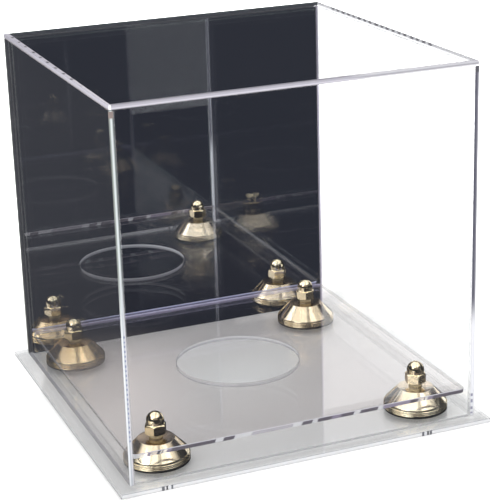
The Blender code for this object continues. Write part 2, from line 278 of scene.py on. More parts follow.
def edge_finish(
    name,
    across,
    span,
    stops,
    covers,
    change=None,
    steps="LINEAR",
    streak=0.1,
    marks=(),
    rows=(),
    slant=0.0,
    light=SIDE_LIGHT,
):
    """A polished cut edge, whose colours are painted light and shade: the reflections, shadows and highlights seen
    in and through it.

    across is the axis that runs over the edge and span its two ends. stops are its screen colours, painted light and
    shade, and covers how much each hides, from one end to the other. change is an axis, a place and a softness,
    with another pair of stops and covers that takes over below the place. marks are places along an
    axis, each with its start, end and shade, a painted highlight or shadow line. rows are rows of dashes: an axis,
    its first and last place, pitch and size, where it lies across the edge, and its shade.
    slant leans the stops over with the height.
    """
    finish = new_finish(name)
    place = finish.point()
    axes = dict(zip("xyz", finish.axes(place)))
    spot = axes[across]
    if slant:
        ragged = finish.blotch(place, 380.0, 2.0)
        spot = spot + slant * axes["z"] + 0.0016 * (ragged - 0.5)
    share = (spot - span[0]) / (span[1] - span[0])

    def ramp(points):
        return finish.node("ValToRGB", {"interpolation": steps, "stops": points}, {0: share})

    def grey_ramp(points):
        return ramp([(position, (cover, cover, cover)) for position, cover in points])

    colour = ramp(paint(stops, light))
    cover = grey_ramp(covers)
    if change:
        axis, level, soft, low_stops, low_covers = change
        up = finish.fade(axes[axis], level - soft, level + soft)
        colour = finish.mix(up, ramp(paint(low_stops, light)), colour)
        cover = finish.mix(up, grey_ramp(low_covers), cover)
    for axis, start, end, shade in marks:
        here = finish.band(axes[axis], start, end, 0.0002)
        colour = finish.mix(here, colour, tone(*shade, light))
        cover = finish.math("MAXIMUM", cover, here)
    for axis, first, last, pitch, size, low, high, shade in rows:
        here = dashes(finish, axes[axis], first, last, pitch, size) * finish.band(share, low, high, 0.06)
        colour = finish.mix(here, colour, tone(*shade, light))
        cover = finish.math("MAXIMUM", cover, here)
    grain = finish.blotch(finish.stretched(place, (55.0, 55.0, 55.0)), 1.0, 4.0)
    saw = finish.blotch(finish.stretched(place, (600.0, 600.0, 600.0)), 1.0, 2.0)
    colour = finish.mix(streak * (grain + saw), colour, (0.55, 0.55, 0.6))
    inputs = {
        "Base Color": colour,
        "Roughness": 0.14 + 0.12 * saw,
        "IOR": 1.49,
        "Normal": finish.node("Bump", inputs={"Strength": 0.06, "Distance": 0.0001, "Height": saw}),
    }
    body = finish.node("BsdfPrincipled", inputs=inputs)
    clear = finish.node("BsdfTransparent", inputs={"Color": (0.95, 0.955, 0.955)})
    opened = finish.math("MULTIPLY", 1.13 * cover, 0.92 + 0.16 * grain, clamp=True)
    return finish.show(finish.blend(opened, clear, body))


def brass_finish(name, warm, pale, roughness, fine):
    """Polished brass: turning lines, faint tarnish spots and a cloudy warmth."""
    finish = new_finish(name)
    place = finish.point()
    x, y, z = finish.axes(place)
    radius = finish.math("SQRT", x * x + y * y)
    lathe = finish.node("CombineXYZ", inputs={0: (radius - z) * fine})
    lines = finish.blotch(lathe, 1.0, 2.0)
    cloud = finish.blotch(place, 70.0, 4.0)
    spots = finish.fade(finish.blotch(place, 420.0, 2.0), 0.66, 0.76)
    colour = finish.mix(0.25 + 0.9 * (cloud - 0.3), pale, warm)
    colour = finish.mix(0.35 * spots, colour, tone(150, 112, 62))
    bump = finish.node("Bump", inputs={"Strength": 0.05, "Distance": 0.0001, "Height": lines})
    inputs = {
        "Base Color": colour,
        "Metallic": 1.0,
        "Roughness": roughness + 0.07 * (lines - 0.5) + 0.05 * cloud + 0.1 * spots,
        "Normal": bump,
    }
    return finish.show(finish.node("BsdfPrincipled", inputs=inputs))


def rubber_finish(name, colour):
    """Moulded black rubber with a fine grain and pale dust in it."""
    finish = new_finish(name)
    place = finish.point()
    grain = finish.blotch(place, 2600.0, 3.0)
    dust = finish.fade(finish.blotch(place, 500.0, 4.0), 0.58, 0.8)
    inputs = {
        "Base Color": finish.mix(0.3 * dust, colour, tone(92, 92, 94)),
        "Roughness": 0.5 + 0.3 * grain,
        "Normal": finish.node("Bump", inputs={"Strength": 0.3, "Distance": 0.00015, "Height": grain}),
    }
    return finish.show(finish.node("BsdfPrincipled", inputs=inputs))


def steel_finish(name, colour):
    """Plated steel with fine drawn lines."""
    finish = new_finish(name)
    place = finish.point()
    lines = finish.blotch(finish.stretched(place, (300.0, 300.0, 5200.0)), 1.0, 3.0)
    stain = finish.blotch(place, 210.0, 4.0)
    inputs = {
        "Base Color": finish.mix(stain, colour, tone(150, 150, 156)),
        "Metallic": 1.0,
        "Roughness": 0.2 + 0.16 * lines,
        "Normal": finish.node("Bump", inputs={"Strength": 0.12, "Distance": 0.0001, "Height": lines}),
    }
    return finish.show(finish.node("BsdfPrincipled", inputs=inputs))


def mirror_finish(name, silver):
    """The silvered face of the back panel, with faint wipe marks."""
    finish = new_finish(name)
    place = finish.point()
    wipe = finish.blotch(finish.stretched(place, (14.0, 14.0, 30.0)), 1.0, 5.0)
    dust = finish.fade(finish.blotch(place, 900.0, 1.0), 0.74, 0.8)
    inputs = {
        "Base Color": finish.mix(0.12 * wipe, silver, tone(178, 182, 190)),
        "Metallic": 1.0,
        "Roughness": 0.006 + 0.02 * finish.fade(wipe, 0.45, 0.75) + 0.2 * dust,
    }
    return finish.show(finish.node("BsdfPrincipled", inputs=inputs))


def backing_finish(name, colour):
    """The grey protective paint behind the silvering, with its sprayed speckle."""
    finish = new_finish(name)
    place = finish.point()
    spray = finish.blotch(place, 1500.0, 3.0)
    drift = finish.blotch(place, 16.0, 4.0)
    inputs = {
        "Base Color": finish.mix(0.5 * spray + 0.35 * drift, colour, tone(116, 119, 124)),
        "Roughness": 0.42 + 0.2 * spray,
        "Normal": finish.node("Bump", inputs={"Strength": 0.15, "Distance": 0.0001, "Height": spray}),
    }
    return finish.show(finish.node("BsdfPrincipled", inputs=inputs))


def cement_finish(name, cover, colour):
    """The thin line of cement in a joint: nearly clear solvent cement, or dark where it meets the mirror."""
    finish = new_finish(name)
    place = finish.point()
    milk = finish.blotch(finish.stretched(place, (160.0, 160.0, 160.0)), 1.0, 5.0)
    inputs = {
        "Base Color": finish.mix(0.2 * milk, colour, (0.6, 0.6, 0.62)),
        "Roughness": 0.25 + 0.3 * milk,
        "IOR": 1.49,
    }
    body = finish.node("BsdfPrincipled", inputs=inputs)
    clear = finish.node("BsdfTransparent", inputs={"Color": (0.97, 0.972, 0.975)})
    hides = finish.math("MULTIPLY", cover, 0.55 + 0.9 * milk, clamp=True)
    return finish.show(finish.blend(hides, clear, body))


def bubble_finish(name, colour):
    """A trapped air bubble, which reads dark with a bright rim."""
    finish = new_finish(name)
    facing = finish.node("LayerWeight", inputs={"Blend": 0.5}, output="Facing")
    place = finish.point()
    shade = finish.blotch(place, 700.0, 2.0)
    inputs = {
        "Base Color": finish.mix(0.35 * shade, colour, tone(196, 200, 210)),
        "Roughness": 0.08 + 0.1 * shade,
        "Coat Weight": 0.6 * facing,
        "IOR": 1.49,
    }
    return finish.show(finish.node("BsdfPrincipled", inputs=inputs))


# ---------------------------------------------------------------------- shapes


def rounded_box_loop(low, high, corner, steps):
    """A function of inset and height that gives the points round a rectangle with rounded corners."""
    quarters = (
        (high[0] - corner, high[1] - corner, 0.0),
        (low[0] + corner, high[1] - corner, pi / 2),
        (low[0] + corner, low[1] + corner, pi),
        (high[0] - corner, low[1] + corner, 3 * pi / 2),
    )

    def loop(inset, height):
        points = []
        for across, along, start in quarters:
            for step in range(steps + 1):
                angle = start + pi / 2 * step / steps
                reach = corner - inset
                points.append((across + reach * cos(angle), along + reach * sin(angle)))
        return points

    return loop


def round_hole_loop(centre, radius_at, steps):
    """A function of inset and height that gives the points round a hole, whose radius may change."""

    def loop(inset, height):
        points = []
        for step in range(steps):
            angle = 2 * pi * step / steps
            reach = radius_at(height) + inset
            points.append((centre[0] + reach * cos(angle), centre[1] + reach * sin(angle)))
        return points

    return loop


def roll_sections(thickness, roll, steps, levels=()):
    """Insets and heights of a sheet's rolled edge, from its lower face to its upper face."""
    lower = []
    for step in range(steps + 1):
        angle = pi / 2 * step / steps
        lower.append((roll * (1 - sin(angle)), roll * (1 - cos(angle))))
    upper = [(inset, thickness - height) for inset, height in reversed(lower)]
    return lower + [(0.0, level) for level in levels] + upper


STANDS = {
    "z": lambda across, along, through: (across, along, through),
    "y": lambda across, along, through: (across, through, along),
    "x": lambda across, along, through: (through, across, along),
}
SIDE_NAMES = (("+x", "-x"), ("+y", "-y"), ("+z", "-z"))


def sheet_mesh(name, stand, base, loops, sections, finishes):
    """A flat sheet with rolled edges and holes.

    stand is the axis through it and base where its lower face lies on that axis. loops has a key and
    a loop for its outside and for each hole. finishes has the finish of its faces under the stand
    axis, of each outer side by the side's name or "edge", and of each hole's wall by the hole's key.
    """
    cage = bmesh.new()
    wall = cage.faces.layers.int.new("wall")
    stand_up = STANDS[stand]
    stacks = []
    for number, (key, loop) in enumerate(loops):
        stack = []
        for inset, height in sections:
            ring = [cage.verts.new(stand_up(u, v, base + height)) for u, v in loop(inset, height)]
            stack.append(ring)
        for lower, upper in zip(stack, stack[1:]):
            for index in range(len(lower)):
                after = (index + 1) % len(lower)
                corners = (lower[index], lower[after], upper[after], upper[index])
                cage.faces.new(corners)[wall] = number + 1
        stacks.append(stack)
    for which in (0, -1):
        rims = []
        for stack in stacks:
            ring = stack[which]
            for index in range(len(ring)):
                rims.append(cage.edges.get((ring[index], ring[(index + 1) % len(ring)])))
        bmesh.ops.triangle_fill(cage, use_beauty=True, edges=rims)
    bmesh.ops.recalc_face_normals(cage, faces=cage.faces)
    mesh = bpy.data.meshes.new(name)
    names = list(finishes)
    for key in names:
        mesh.materials.append(finishes[key])
    for face in cage.faces:
        around = [index for index in range(3) if face[wall] != 1 or "xyz"[index] != stand]
        axis = max(around, key=lambda index: abs(face.normal[index]))
        side = SIDE_NAMES[axis][0 if face.normal[axis] > 0 else 1]
        if face[wall] == 0:
            keys = (side, stand)
        elif face[wall] == 1:
            keys = (side, "edge", stand)
        else:
            keys = (loops[face[wall] - 1][0],)
        key = next(key for key in keys if key in finishes)
        face.material_index = names.index(key)
        face.smooth = face[wall] != 0
    cage.to_mesh(mesh)
    cage.free()
    return mesh


def ring_of_points(cage, steps, reach, height):
    """A ring about the upright axis. reach and height are numbers, or functions of the angle round it."""
    points = []
    for step in range(steps):
        angle = 2 * pi * step / steps
        far = reach(angle) if callable(reach) else reach
        level = height(angle) if callable(height) else height
        points.append(cage.verts.new((far * cos(angle), far * sin(angle), level)))
    return points


def turned_mesh(name, profile, steps, sharp):
    """A profile of radius and height points turned about the upright axis."""
    cage = bmesh.new()
    stitch(cage, [ring_of_points(cage, steps, radius, height) for radius, height in profile])
    return finished(cage, name, sharp)


def stitch(cage, rings):
    """Faces between each ring of points and the next. A ring of one point closes an end."""
    for first, second in zip(rings, rings[1:]):
        count = max(len(first), len(second))
        for index in range(count):
            after = (index + 1) % count
            if len(first) == 1:
                cage.faces.new((first[0], second[after], second[index]))
            elif len(second) == 1:
                cage.faces.new((first[index], first[after], second[0]))
            else:
                cage.faces.new((first[index], first[after], second[after], second[index]))


def finished(cage, name, sharp):
    """The cage as a mesh with smooth shading and sharp corners."""
    bmesh.ops.recalc_face_normals(cage, faces=cage.faces)
    mesh = bpy.data.meshes.new(name)
    cage.to_mesh(mesh)
    cage.free()
    mesh.shade_smooth()
    mesh.set_sharp_from_angle(angle=radians(sharp))
    return mesh


def rounded(before, corner, after, radius, steps):
    """Points of an arc that rounds a profile's corner."""
    before, corner, after = Vector(before), Vector(corner), Vector(after)
    back = (before - corner).normalized()
    ahead = (after - corner).normalized()
    half = back.angle(ahead) / 2
    reach = min(radius / tan(half), 0.9 * (before - corner).length, 0.9 * (after - corner).length)
    radius = reach * tan(half)
    centre = corner + (back + ahead).normalized() * (radius / sin(half))
    first = corner + back * reach - centre
    last = corner + ahead * reach - centre
    sweep = atan2(first.x * last.y - first.y * last.x, first.dot(last))
    points = []
    for step in range(steps + 1):
        angle = sweep * step / steps
        across = first.x * cos(angle) - first.y * sin(angle)
        along = first.x * sin(angle) + first.y * cos(angle)
        points.append((centre.x + across, centre.y + along))
    return points


def add_piece(name, mesh, body, node=None, at=(0.0, 0.0, 0.0), turn=0.0):
    """Puts a mesh in the scene as a piece that rides on a body, and may stand for a node."""
    piece = bpy.data.objects.new(name, mesh)
    piece.location = at
    piece.rotation_euler = (0.0, 0.0, turn)
    bpy.context.scene.collection.objects.link(piece)
    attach(piece, body)
    if node:
        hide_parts(node)
    return piece


def stand_at_corners(name, node, meshes, turns=None):
    """Stands each corner's mesh on the foot of that corner's node, turned if its turn is given."""
    for corner in CORNERS:
        at = middle(node + corner)
        at.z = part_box(node + corner)[0].z
        turn = turns[corner] if turns else 0.0
        add_piece(name + corner, meshes[corner], "base", node + corner, at, turn)


def panel(node, name, body, finishes, look):
    """A cover panel in the place of its node, with rolled edges."""
    low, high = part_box(node)
    size = high - low
    stand = "xyz"[min(range(3), key=lambda index: size[index])]
    across, along, through = {"x": (1, 2, 0), "y": (0, 2, 1), "z": (0, 1, 2)}[stand]
    start = (low[across], low[along])
    end = (high[across], high[along])
    loop = rounded_box_loop(start, end, look.panel_corner, look.corner_steps)
    sections = roll_sections(size[through], look.edge_roll, look.roll_steps)
    loops = [("edge", loop)]
    mesh = sheet_mesh(name, stand, low[through], loops, sections, finishes)
    return add_piece(name, mesh, body, node)


# -------------------------------------------------------------------- settings


def colour_setting(name, description, default):
    """A colour that a user may change."""
    return FloatVectorProperty(
        name=name, description=description, subtype="COLOR", size=3, min=0.0, max=1.0, default=default
    )


def length_setting(name, description, low, high, default):
    """A length that a user may change."""
    return FloatProperty(
        name=name, description=description, subtype="DISTANCE", unit="LENGTH", min=low, max=high, default=default
    )


def share_setting(name, description, high, default):
    """A share, from 0 up to a limit, that a user may change."""
    return FloatProperty(name=name, description=description, subtype="FACTOR", min=0.0, max=high, default=default)


def count_setting(name, description, low, high, default):
    """A count of facets that a user may change."""
    return IntProperty(name=name, description=description, min=low, max=high, default=default)


def glow_setting(name, description, default):
    """A brightness that a user may change."""
    return FloatProperty(name=name, description=description, min=0.0, max=5.0, default=default)


def lamp_setting(name, description, default):
    """A lamp's power that a user may change."""
    return FloatProperty(
        name=name, description=description, subtype="POWER", unit="POWER", min=0.0, max=500.0, default=default
    )


def angle_setting(name, description, default):
    """An angle, given in degrees, that a user may change."""
    return FloatProperty(
        name=name, description=description, subtype="ANGLE", unit="ROTATION", default=radians(default)
    )


class CaseSheetSettings(bpy.types.PropertyGroup):
    """Sizes and colours of the clear sheets."""

    tint: colour_setting("Clear tint", "Colour that each face of the clear sheet lets through", (0.99, 0.992, 0.992))
    base_tint: colour_setting(
        "Base tint", "Colour that each face of the base plate lets through", (0.925, 0.927, 0.928)
    )
    platform_tint: colour_setting(
        "Platform tint", "Colour that each face of the platform lets through", (0.985, 0.972, 0.972)
    )
    haze: share_setting("Surface haze", "Roughness of the polished faces", 0.3, 0.012)
    edge_roll: length_setting("Edge roll", "Radius of the polished edges", 0.00005, 0.001, 0.0003)
    roll_steps: count_setting("Roll steps", "Facets across each rolled edge", 1, 8, 3)
    panel_corner: length_setting("Panel corner", "Corner radius of the cover's panels", 0.0004, 0.003, 0.0006)
    corner_steps: count_setting("Corner steps", "Facets round each small corner", 1, 16, 3)
    platform_corner: length_setting("Platform corner", "Corner radius of the platform", 0.001, 0.02, 0.0045)
    seat_radius: length_setting(
        "Seat radius", "Radius of the round seat that is cut through the platform", 0.02, 0.06, 0.04445
    )
    seat_steps: count_setting("Seat steps", "Facets round the seat", 48, 256, 160)


class CaseJointSettings(bpy.types.PropertyGroup):
    """The cement lines between the cover's panels."""

    top_left_pitch: length_setting(
        "Left bubble pitch", "Distance between bubbles in the joint over the left panel", 0.002, 0.05, 0.0193
    )
    top_right_pitch: length_setting(
        "Right bubble pitch", "Distance between bubbles in the joint over the right panel", 0.002, 0.05, 0.0091
    )
    upright_pitch: length_setting(
        "Upright bubble pitch", "Distance between bubbles in the front left upright joint", 0.001, 0.02, 0.0032
    )
    cover: share_setting("Cement cover", "How much the cement line hides", 1.0, 0.1)


class CaseHardwareSettings(bpy.types.PropertyGroup):
    """Sizes and colours of the brass and steel parts."""

    pale_brass: colour_setting("Pale brass", "Colour of the brass where it is freshly polished", (0.95, 0.88, 0.7))
    # The warm colour also gives each riser its painted reflection, by how much warmer each is painted
    warm_brass: colour_setting("Warm brass", "Colour of the brass where it has warmed with age", (0.86, 0.67, 0.37))
    polish: share_setting("Brass roughness", "Roughness of the polished brass", 0.6, 0.09)
    steel: colour_setting("Steel", "Colour of the screws", (0.72, 0.72, 0.74))
    rubber: colour_setting("Rubber", "Colour of the rings under the risers", (0.008, 0.008, 0.009))
    top_radius: length_setting("Riser top radius", "Radius of the flat top of each riser", 0.006, 0.02, 0.0125)
    rim_height: length_setting(
        "Riser rim height", "Height of the grooved rim at the foot of each riser", 0.001, 0.008, 0.0033
    )
    thread_pitch: length_setting(
        "Thread pitch", "Distance from one turn of the screw thread to the next", 0.0005, 0.003, 0.00125
    )
    turned_steps: count_setting("Turned steps", "Facets round each turned part", 48, 256, 144)


class CaseMirrorSettings(bpy.types.PropertyGroup):
    """Colours of the mirror panel."""

    silver: colour_setting("Silver", "Colour of the silvered face", (0.84, 0.86, 0.89))
    backing: colour_setting("Backing paint", "Colour of the paint behind the silvering", (0.3, 0.31, 0.33))


class CaseStageSettings(bpy.types.PropertyGroup):
    """Floor, lamps and camera."""

    floor: colour_setting("Floor", "Colour of the floor", (0.93, 0.93, 0.93))
    floor_reach: length_setting("Floor reach", "Distance from the case to the floor's edge", 0.5, 50.0, 12.0)
    daylight: glow_setting("Surrounding light", "Brightness of the light from all round", 1.02)
    key: lamp_setting("Key lamp", "Power of the large soft lamp at the front left", 5.0)
    fill: lamp_setting("Fill lamp", "Power of the soft lamp at the right", 0.9)
    table_light: glow_setting("Table light", "Glow of the floor under the case, like a lit table", 0.19)
    rim_light: glow_setting("Rim light", "More glow of the floor outside the base plate", 0.15)
    back_light: glow_setting("Back light", "More glow of the floor behind the case", 1.5)
    room: FloatVectorProperty(
        name="Room",
        description="Screen colour, 0 to 255, of the dim room that polished faces mirror",
        size=3,
        min=0.0,
        max=255.0,
        default=(49.0, 51.0, 59.0),
    )
    azimuth: angle_setting("Camera azimuth", "Turn of the camera's view about the case", -21.6425)
    elevation: angle_setting("Camera elevation", "Height of the camera's view", 18.662)
    roll: angle_setting("Camera roll", "Tilt of the camera about its own line of sight", -1.793)
    distance: length_setting(
        "Camera distance", "Distance from the camera to the point it looks at", 0.3, 20.0, 1.15636
    )
    target: FloatVectorProperty(
        name="Camera target",
        description="Point that the camera looks at",
        subtype="TRANSLATION",
        unit="LENGTH",
        size=3,
        default=(0.009456, 0.0, 0.103702),
    )
    lens: FloatProperty(
        name="Lens",
        description="Focal length of the camera",
        subtype="DISTANCE_CAMERA",
        min=10.0,
        max=400.0,
        default=117.042,
    )


# ------------------------------------------------------------------- operators


class CASE_OT_base_plate(bpy.types.Operator):
    """Build the clear base plate with its countersunk holes"""

    bl_idname = "case.base_plate"
    bl_label = "Base Plate"

    def execute(self, context):
        look = context.scene.case_sheet
        low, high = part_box("base_plate")
        top = high.z
        clear = clear_finish("base_clear", tuple(look.base_tint), look.haze)
        # The edges are painted light and shade: a dark line along the left edge's foot, grey lines along the front
        # edge's arrises, darker arrises on the right edge and a darker band in the countersinks' walls.
        line = (104, 106, 110)
        left = edge_finish(
            "base_left_edge",
            "z",
            (0.0, top),
            [(0.0, *line), (0.2, *line), (0.3, 222, 224, 226), (1.0, 232, 233, 235)],
            [(0.0, 1.0), (0.22, 0.9), (0.32, 0.2), (0.9, 0.25), (1.0, 0.45)],
        )
        front_tones = [
            (0.0, 196, 198, 202),
            (0.16, 232, 233, 235),
            (0.5, 250, 250, 252),
            (0.84, 242, 243, 245),
            (0.92, 150, 153, 157),
            (1.0, 190, 192, 196),
        ]
        front_covers = [(0.0, 0.7), (0.2, 0.6), (0.5, 0.6), (0.85, 0.7), (0.92, 0.9), (1.0, 0.8)]
        front = edge_finish(
            "base_front_edge", "z", (0.0, top), front_tones, front_covers, marks=SCREW_MARKS, light=FRONT_LIGHT
        )
        right = edge_finish(
            "base_right_edge",
            "z",
            (0.0, top),
            [(0.0, 206, 208, 211), (0.2, 230, 231, 233), (0.85, 234, 235, 237), (1.0, 204, 206, 209)],
            [(0.0, 0.3), (0.2, 0.12), (0.85, 0.12), (1.0, 0.4)],
            streak=0.03,
        )
        sink = edge_finish(
            "base_hole_wall",
            "z",
            (0.0, top),
            [(0.0, 150, 152, 156), (0.6, 96, 98, 104), (1.0, 205, 206, 210)],
            [(0.0, 0.35), (1.0, 0.45)],
        )
        outside = rounded_box_loop(low.xy, high.xy, look.panel_corner, look.corner_steps)
        loops = [("edge", outside)]
        for corner in CORNERS:
            centre = middle("screw_" + corner).xy
            sink_loop = round_hole_loop(centre, lambda height: max(HOLE_RADIUS, SINK_RADIUS - height), HOLE_STEPS)
            loops.append(("hole", sink_loop))
        sections = roll_sections(top, look.edge_roll, look.roll_steps, [SINK_RADIUS - HOLE_RADIUS - look.edge_roll])
        finishes = {"z": clear, "-x": left, "+x": right, "+y": right, "-y": front, "hole": sink}
        mesh = sheet_mesh("base_plate_sheet", "z", 0.0, loops, sections, finishes)
        add_piece("base_plate_sheet", mesh, "base", "base_plate")
        return {"FINISHED"}


# Painted shades and highlight of a screw as seen through an edge
THREAD_DARK = (34, 34, 38)
THREAD_GREY = (92, 94, 100)
THREAD_LIGHT = (222, 224, 228)
# Where the screws are painted as seen through the base plate's front edge
SCREW_MARKS = (
    ("x", -0.1060, -0.1043, THREAD_GREY),
    ("x", -0.1030, -0.1021, THREAD_DARK),
    ("x", -0.1012, -0.1000, THREAD_LIGHT),
    ("x", -0.0996, -0.0986, THREAD_GREY),
    ("x", 0.0800, 0.0814, THREAD_GREY),
    ("x", 0.0820, 0.0833, THREAD_LIGHT),
    ("x", 0.0838, 0.0850, THREAD_DARK),
    ("x", 0.0858, 0.0873, THREAD_GREY),
)


# Shades of light and shadow in a polished edge, with how much each hides
EDGE_SHADES = {
    "white": ((242, 242, 246), 0.6),
    "haze": ((196, 190, 200), 0.55),
    "mauve": ((146, 136, 156), 0.9),
    "plum": ((88, 80, 90), 0.95),
    "ink": ((62, 62, 76), 0.95),
}
# The painted light and shadow along the platform's front edge, by where each starts, in millimetres from the middle
FRONT_EDGE_SHADES = (
    (-121.0, "white"), (-118.0, "plum"), (-116.0, "mauve"), (-108.0, "haze"), (-103.5, "ink"), (-102.0, "white"),
    (-100.5, "ink"), (-99.5, "white"), (-97.0, "mauve"), (-94.5, "plum"), (-63.5, "white"), (-58.5, "plum"),
    (-50.5, "white"), (-38.5, "haze"), (-9.5, "white"), (-2.5, "plum"), (5.0, "white"), (9.0, "plum"),
    (19.5, "mauve"), (25.5, "plum"), (35.0, "white"), (40.0, "plum"), (53.0, "white"), (57.0, "mauve"),
    (78.0, "plum"), (83.5, "haze"), (88.5, "ink"), (89.5, "white"), (91.0, "mauve"), (94.5, "plum"),
)


class CASE_OT_platform(bpy.types.Operator):
    """Build the clear platform with its round seat and four screw holes"""

    bl_idname = "case.platform"
    bl_label = "Platform"

    def execute(self, context):
        look = context.scene.case_sheet
        low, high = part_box("platform")
        thick = high.z - low.z
        clear = clear_finish("platform_clear", tuple(look.platform_tint), look.haze)
        width = high.x - low.x
        lean = 0.5 * (low.z + high.z) / 2
        places = [(spot * MM - lean - low.x) / width for spot, _ in FRONT_EDGE_SHADES]
        shades = [EDGE_SHADES[shade] for _, shade in FRONT_EDGE_SHADES]
        front = edge_finish(
            "platform_front_edge",
            "x",
            (low.x, high.x),
            [(spot, *colour) for spot, (colour, _) in zip(places, shades)],
            [(spot, cover) for spot, (_, cover) in zip(places, shades)],
            steps="CONSTANT",
            streak=0.12,
            # A painted highlight along the upper arris
            marks=[("z", high.z - 0.0004, high.z + 0.001, (216, 213, 221))],
            slant=-0.5,
            light=FRONT_LIGHT,
        )
        # The left edge: painted shade at its foot and lighter above, with painted dark dashes
        dark = (50, 46, 54)
        side = edge_finish(
            "platform_left_edge",
            "z",
            (low.z, high.z),
            [(0.0, *dark), (0.3, 74, 70, 78), (0.46, 186, 182, 188), (1.0, 222, 220, 226)],
            [(0.0, 1.0), (0.3, 0.95), (0.5, 0.2), (0.85, 0.25), (1.0, 0.6)],
            rows=[
                ("y", -0.0285, -0.0546, 0.0058, 0.0034, 0.0, 0.62, (26, 26, 32)),
                ("y", -0.0905, -0.1050, 0.0052, 0.0030, 0.0, 0.62, (26, 26, 32)),
            ],
        )
        # The right edge: painted light, darker at its arrises
        far = edge_finish(
            "platform_right_edge",
            "z",
            (low.z, high.z),
            [(0.0, 206, 207, 211), (0.2, 228, 229, 232), (0.86, 232, 233, 236), (1.0, 196, 198, 203)],
            [(0.0, 0.36), (0.2, 0.32), (0.86, 0.3), (1.0, 0.6)],
            streak=0.03,
        )
        # The back edge: painted shade, with a lavender painted highlight at its upper arris
        back = edge_finish(
            "platform_back_edge",
            "z",
            (low.z, high.z),
            [(0.0, 120, 116, 140), (0.5, 150, 146, 172), (0.85, 186, 184, 214), (1.0, 206, 204, 232)],
            [(0.0, 0.4), (0.6, 0.5), (1.0, 0.9)],
            light=0.65,
        )
        # The seat's wall: a painted highlight between darker lines at its arrises
        seat_wall = edge_finish(
            "platform_seat_wall",
            "z",
            (low.z, high.z),
            [(0.0, 150, 150, 158), (0.3, 228, 228, 234), (0.85, 250, 250, 252), (1.0, 150, 150, 158)],
            [(0.0, 0.55), (0.5, 0.4), (1.0, 0.85)],
        )
        # The screw holes' walls: painted golden reflections of the brass round them
        hole_wall = edge_finish(
            "platform_hole_wall",
            "z",
            (low.z, high.z),
            [(0.0, 188, 158, 98), (0.45, 236, 222, 180), (1.0, 206, 180, 122)],
            [(0.0, 0.6), (0.5, 0.7), (1.0, 0.55)],
        )
        seat = look.seat_radius
        corners = look.platform_corner
        centre = middle("platform").xy
        loops = [("edge", rounded_box_loop(low.xy, high.xy, corners, 12))]
        loops.append(("seat", round_hole_loop(centre, lambda height: seat, look.seat_steps)))
        for corner in CORNERS:
            centre = middle("screw_" + corner).xy
            loops.append(("hole", round_hole_loop(centre, lambda height: HOLE_RADIUS, HOLE_STEPS)))
        sections = roll_sections(thick, look.edge_roll, look.roll_steps)
        finishes = {"z": clear, "-y": front, "-x": side, "+x": far, "+y": back}
        finishes.update({"seat": seat_wall, "hole": hole_wall})
        mesh = sheet_mesh("platform_sheet", "z", low.z, loops, sections, finishes)
        add_piece("platform_sheet", mesh, "base", "platform")
        return {"FINISHED"}


class CASE_OT_rubber_rings(bpy.types.Operator):
    """Build the rubber ring under each riser"""

    bl_idname = "case.rubber_rings"
    bl_label = "Rubber Rings"

    def execute(self, context):
        look = context.scene.case_hardware
        low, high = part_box("ring_front_left")
        thick = high.z - low.z
        outer = (high.x - low.x) / 2
        wide = 0.005
        inner = outer - wide
        roll = 0.0003
        corners = [(inner, 0.0), (outer, 0.0), (outer, thick), (inner, thick)]
        profile = []
        for index in range(4):
            before, after = corners[index - 1], corners[(index + 1) % 4]
            profile += rounded(before, corners[index], after, roll, 4)
        profile.append(profile[0])
        mesh = turned_mesh("rubber_ring", profile, look.turned_steps, 60.0)
        mesh.materials.append(rubber_finish("black_rubber", tuple(look.rubber)))
        stand_at_corners("rubber_ring_", "ring_", dict.fromkeys(CORNERS, mesh))
        return {"FINISHED"}


def riser_profile(look, outer, height):
    """The riser's outside and its hollow, from the screw hole outwards and back."""
    rim = look.rim_height
    foot = outer - 0.0004
    hole = HOLE_RADIUS
    wall = 0.0015
    lip = 0.00025
    groove_radius = 0.0003
    rim_round = 0.00015
    top_round = 0.0006
    shoulder_round = 0.0023
    top = look.top_radius
    shoulder = (foot, rim + 0.001)
    points = [(hole, height - lip), (hole + lip, height)]
    points += rounded((hole, height), (top, height), shoulder, top_round, 5)
    points += rounded((top, height), shoulder, (foot, rim), shoulder_round, 10)
    points += [(foot, rim + 0.0001), (foot + 0.0001, rim)]
    points += rounded((foot, rim), (outer, rim), (outer, 0.0), rim_round, 3)
    for groove in (2, 1):
        level = groove * rim / 3
        for step in range(7):
            angle = pi * step / 6
            points.append((outer - groove_radius * sin(angle), level + groove_radius * cos(angle)))
    points += rounded((outer, rim / 3), (outer, 0.0), (0.0, 0.0), rim_round, 3)
    slope = (shoulder[0] - top) / (height - shoulder[1])
    inset = wall * sqrt(1 + slope * slope)
    points += [(foot + 0.001 * slope - inset, 0.0), (top + wall * slope - inset, height - wall)]
    points += [(hole, height - wall), (hole, height - lip)]
    return points


# How much warmer each riser's brass is painted, a painted reflection of what lies round each one
RISER_PAINTED_WARMTH = {"front_left": 0.22, "front_right": 0.0, "back_left": 1.0, "back_right": 0.35}


